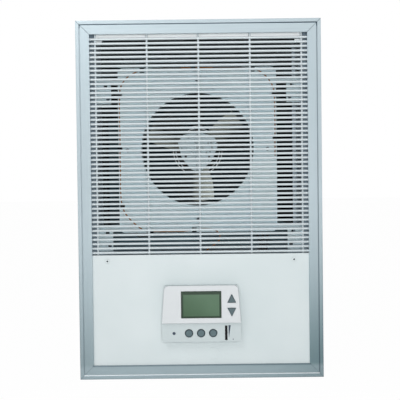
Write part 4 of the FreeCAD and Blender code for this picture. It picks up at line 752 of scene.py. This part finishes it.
# Fan: three stamped steel blades in cream enamel with a little dust, painted darker where they
# lie deeper and in patches as painted shade, lighter on the lower blade's right as a painted
# highlight, and a turned hub with a three-cornered zinc plate, held by three black rivets.
def cream_enamel(place):
    peel = grain(place, 700.0, detail=2.0)
    dust = grain(place, 26.0)
    _, back, _ = axes(place)
    across, up, reach = round_axis(place, shaft)
    # Painted shade: darker where the blades lie deeper, at the upper left, on the tips above and
    # on the lower blade's left; a painted highlight on its right. The grain adds a little dust.
    dust_and_shade = dust * 0.15 + between(back + reach * 0.05, -0.0715, -0.0565)
    lower = 1.0 - between(up, -0.035, -0.020)
    right = between(across, -0.014, 0.002)
    upper_left = (1.0 - between(across, -0.042, -0.026)) * between(up, -0.012, 0.004)
    tip = between(reach, 0.048, 0.070) * (1.0 - lower)
    dust_and_shade = root(dust_and_shade) + upper_left * 0.14 + lower * (0.10 - right * 0.36)
    return {"Base_Color": tint(dust_and_shade + tip * 0.14, (0.69, 0.71, 0.62), (0.012, 0.014, 0.012)),
            "Roughness": dust * 0.2 + 0.34,
            "Normal": relief(peel, 0.00005)}


cream_finish = finish("cream_enamel", cream_enamel, Coat_Weight=0.1)


def spider_zinc(place):
    spark = grain(place, 2200.0, detail=2.0)
    flow = grain(place, 90.0)
    pits = between(grain(place, 210.0, detail=2.0), 0.60, 0.66) * 0.75
    return {"Base_Color": tint(pits, tint(flow, (0.57, 0.70, 0.74), (0.77, 0.88, 0.92)),
                               (0.07, 0.10, 0.11)),
            "Roughness": spark * 0.14 + 0.4,
            "Normal": relief(spark, 0.00003)}


spider_finish = finish("spider_zinc", spider_zinc, Metallic=0.1)
softened("fan_hub", 0.0004, 2, spider_finish, body="fan")
softened("fan_blades", 0.0004, 2, cream_finish, body="fan")
rivet_bm = bmesh.new()
rivet_circle, rivet_radius, rivet_face = 0.0235, 0.0021, -0.0676
for turn in (87.0, 207.0, 327.0):
    rivet = bmesh.ops.create_uvsphere(rivet_bm, u_segments=20, v_segments=10,
                                      radius=rivet_radius)["verts"]
    bmesh.ops.scale(rivet_bm, vec=(1.0, 0.5, 1.0), verts=rivet)
    bmesh.ops.translate(rivet_bm, verts=rivet, vec=(
        shaft.x + rivet_circle * math.cos(math.radians(turn)), rivet_face,
        shaft.z + rivet_circle * math.sin(math.radians(turn))))
rivets = add_piece("spider_rivets", rivet_bm, "fan", black_steel)
rivets.data.shade_smooth()


# Heating elements: steel-sheathed rods with square heat-tinted fins, in brackets of the
# deck's steel, with ceramic ends and threaded pins.
def heat_tinted(place):
    _, _, up = axes(place)
    cloud = grain(place, 60.0)
    warm = sine(up * 31.0) * 0.25 + cloud
    return {"Base_Color": tint(between(warm, 0.3, 0.8), (0.20, 0.17, 0.15), (0.24, 0.22, 0.25)),
            "Roughness": cloud * 0.2 + 0.35,
            "Normal": relief(cloud, 0.00003)}


tinted_steel = finish("tinted_steel", heat_tinted, Metallic=0.85)
dress("element_sheaths", tinted_steel)
dress("element_fins", tinted_steel)
dress("element_terminals", plated_finish)
dress("element_brackets", deck_finish)


# Limit control: a copper sensing tube clipped round the deck with black nylon clips, and
# the switch that it works below the shelf.
def drawn_copper(place):
    tarnish = grain(place, 140.0)
    across, _, up = axes(place)
    # Painted shade: the tube's top run is painted dark brown, but for a stretch in the middle.
    bright = between(across, -0.033, -0.027) - between(across, 0.022, 0.027)
    painted_shade_run = between(up, 0.2232, 0.2240) * (1.0 - bright) * 0.85
    copper = tint(tarnish, (0.32, 0.105, 0.012), (0.52, 0.19, 0.03))
    return {"Base_Color": tint(painted_shade_run, copper, (0.10, 0.085, 0.08)),
            "Roughness": tarnish * 0.2 + 0.38,
            "Normal": relief(tarnish, 0.00003)}


copper_tube = finish("copper_tube", drawn_copper, Metallic=0.3)
dress("limit_capillary", copper_tube)
softened("capillary_clips", 0.0003, 2, black_moulding)
softened("limit_switch", 0.0010, 3, black_moulding)


# Supply: a push-in nylon clamp in the box bottom where the cable enters, a terminal block
# with brass screws and the heater relay with its spade tabs.
softened("cable_clamp", 0.0005, 3, black_moulding)
softened("terminal_block", 0.0005, 2, black_moulding)
softened("terminal_screws", 0.0004, 2, plated_finish)
softened("heater_relay", 0.0006, 3, black_moulding)


# Leads: silicone-sleeved wires from the relay to the elements, motor and thermostat, with a
# second, thicker sleeve where they run together above the shelf. They are laid along listed
# routes, in millimetres across, forward of the box's back and up.
sleeve = finish("sleeve", moulded((0.010, 0.010, 0.011), (0.03, 0.03, 0.033), 0.42))
lead_routes = [
    [(119.0, 21.2, -145.6), (118.8, 22.6, -131.0), (114.6, 34.0, -117.0),
     (108.6, 52.0, -104.0), (115.6, 57.6, -90.0), (121.0, 56.4, -72.0), (115.0, 52.0, -46.3)],
    [(99.0, 21.2, -145.6), (99.2, 22.6, -131.0), (100.4, 35.0, -117.0), (102.0, 51.0, -103.0),
     (108.6, 55.4, -88.0), (105.0, 52.0, -72.0), (97.0, 46.0, -60.5), (78.0, 37.0, -55.0),
     (50.0, 29.0, -52.0), (18.0, 25.0, -50.2), (-16.0, 24.4, -50.0), (-52.0, 27.0, -52.4),
     (-84.0, 34.0, -59.0), (-105.0, 42.5, -66.5), (-117.6, 49.0, -60.5), (-121.0, 52.0, -46.3)],
    [(109.0, 21.2, -145.6), (108.8, 22.4, -131.0), (107.4, 32.0, -116.0),
     (106.4, 49.0, -103.0), (112.0, 51.0, -88.0), (113.0, 49.0, -70.0), (106.0, 38.0, -48.0),
     (81.0, 27.0, -18.0), (66.0, 23.4, 8.0), (48.0, 22.4, 34.0), (29.0, 22.0, 54.0)],
    [(115.0, 52.0, 218.3), (113.0, 50.6, 231.0), (102.0, 46.0, 239.0), (80.0, 42.0, 242.0),
     (44.0, 40.0, 243.6), (4.0, 39.6, 242.4), (-38.0, 40.4, 243.8), (-80.0, 42.0, 241.6),
     (-107.0, 46.0, 238.6), (-118.6, 50.4, 230.6), (-121.0, 52.0, 218.3)],
    [(5.0, 121.2, -190.0), (8.0, 104.0, -190.6), (22.0, 84.0, -191.4), (42.0, 62.0, -189.0),
     (60.0, 42.0, -186.4), (81.7, 32.0, -185.0)],
    [(-5.0, 121.2, -190.0), (-3.0, 102.0, -189.4), (12.0, 80.0, -188.0),
     (34.0, 56.0, -191.6), (56.0, 34.0, -189.0), (81.7, 20.0, -187.0)],
]
sleeved_low, sleeved_high = -95.0, -55.0
lead_runs = [[((x / 1000, -forward / 1000, z / 1000),
               2.2 if sleeved_low < z < sleeved_high else 1.0)
              for x, forward, z in route] for route in lead_routes]
wire_piece("leads", lead_runs, sleeve, "lead_wires",
           radius=0.0013, sides=3, smoothness=8)


# Floor and light: the heater stands on a plain white floor in a white room, lit by a large
# soft light from the upper left and a smaller one straight in front.
floor_bm = bmesh.new()
bmesh.ops.create_grid(floor_bm, x_segments=1, y_segments=1, size=14.0)
floor_mesh = bpy.data.meshes.new("floor")
floor_bm.to_mesh(floor_mesh)
floor_bm.free()
floor = bpy.data.objects.new("floor", floor_mesh)
floor.location = (0.0, 0.0, cad_low.z)
bpy.context.scene.collection.objects.link(floor)
floor_paint = bpy.data.materials.new("floor_paint")
floor_paint.use_nodes = True
wires = Wire(floor_paint.node_tree)
paint = floor_paint.node_tree.nodes["Principled BSDF"]
paint.inputs["Base Color"].default_value = (0.9, 0.9, 0.9, 1.0)
paint.inputs["Roughness"].default_value = 0.8
seen = wires.node("LightPath", {}, output="Is Camera Ray")
white = wires.node("Emission", {"Color": (1.0, 1.0, 1.0, 1.0), "Strength": 1.0})
surface = wires.node("MixShader", {0: seen * 0.98, 1: Wire(wires.tree, paint.outputs[0]),
                                   2: white})
wires.tree.links.new(surface.socket,
                     floor_paint.node_tree.nodes["Material Output"].inputs["Surface"])
floor_mesh.materials.append(floor_paint)

world = bpy.data.worlds.new("studio")
bpy.context.scene.world = world
world.use_nodes = True
wires = Wire(world.node_tree)
backdrop = world.node_tree.nodes["Background"]
direct = wires.node("LightPath", {}, output="Is Camera Ray")
shiny = wires.node("LightPath", {}, output="Is Glossy Ray")
clear = wires.node("LightPath", {}, output="Is Transmission Ray")
plain = larger(direct, larger(shiny, clear))
ambient = 0.32
world.node_tree.links.new((plain * (1.0 - ambient) + ambient).socket,
                          backdrop.inputs["Strength"])
backdrop.inputs["Color"].default_value = (1.0, 1.0, 1.0, 1.0)


def softbox(name, place, size, power):
    """A square area light that looks at the heater's middle."""
    data = bpy.data.lights.new(name, "AREA")
    data.size = size
    data.energy = power
    light = bpy.data.objects.new(name, data)
    light.location = place
    light.rotation_euler = (-Vector(place)).to_track_quat("-Z", "Y").to_euler()
    bpy.context.scene.collection.objects.link(light)
    return light


softbox("key_light", (-0.9, -1.9, 1.7), 1.2, 17.0)
front_light = softbox("front_light", (0.05, -1.6, 0.10), 0.45, 14.8)
front_light.visible_glossy = False
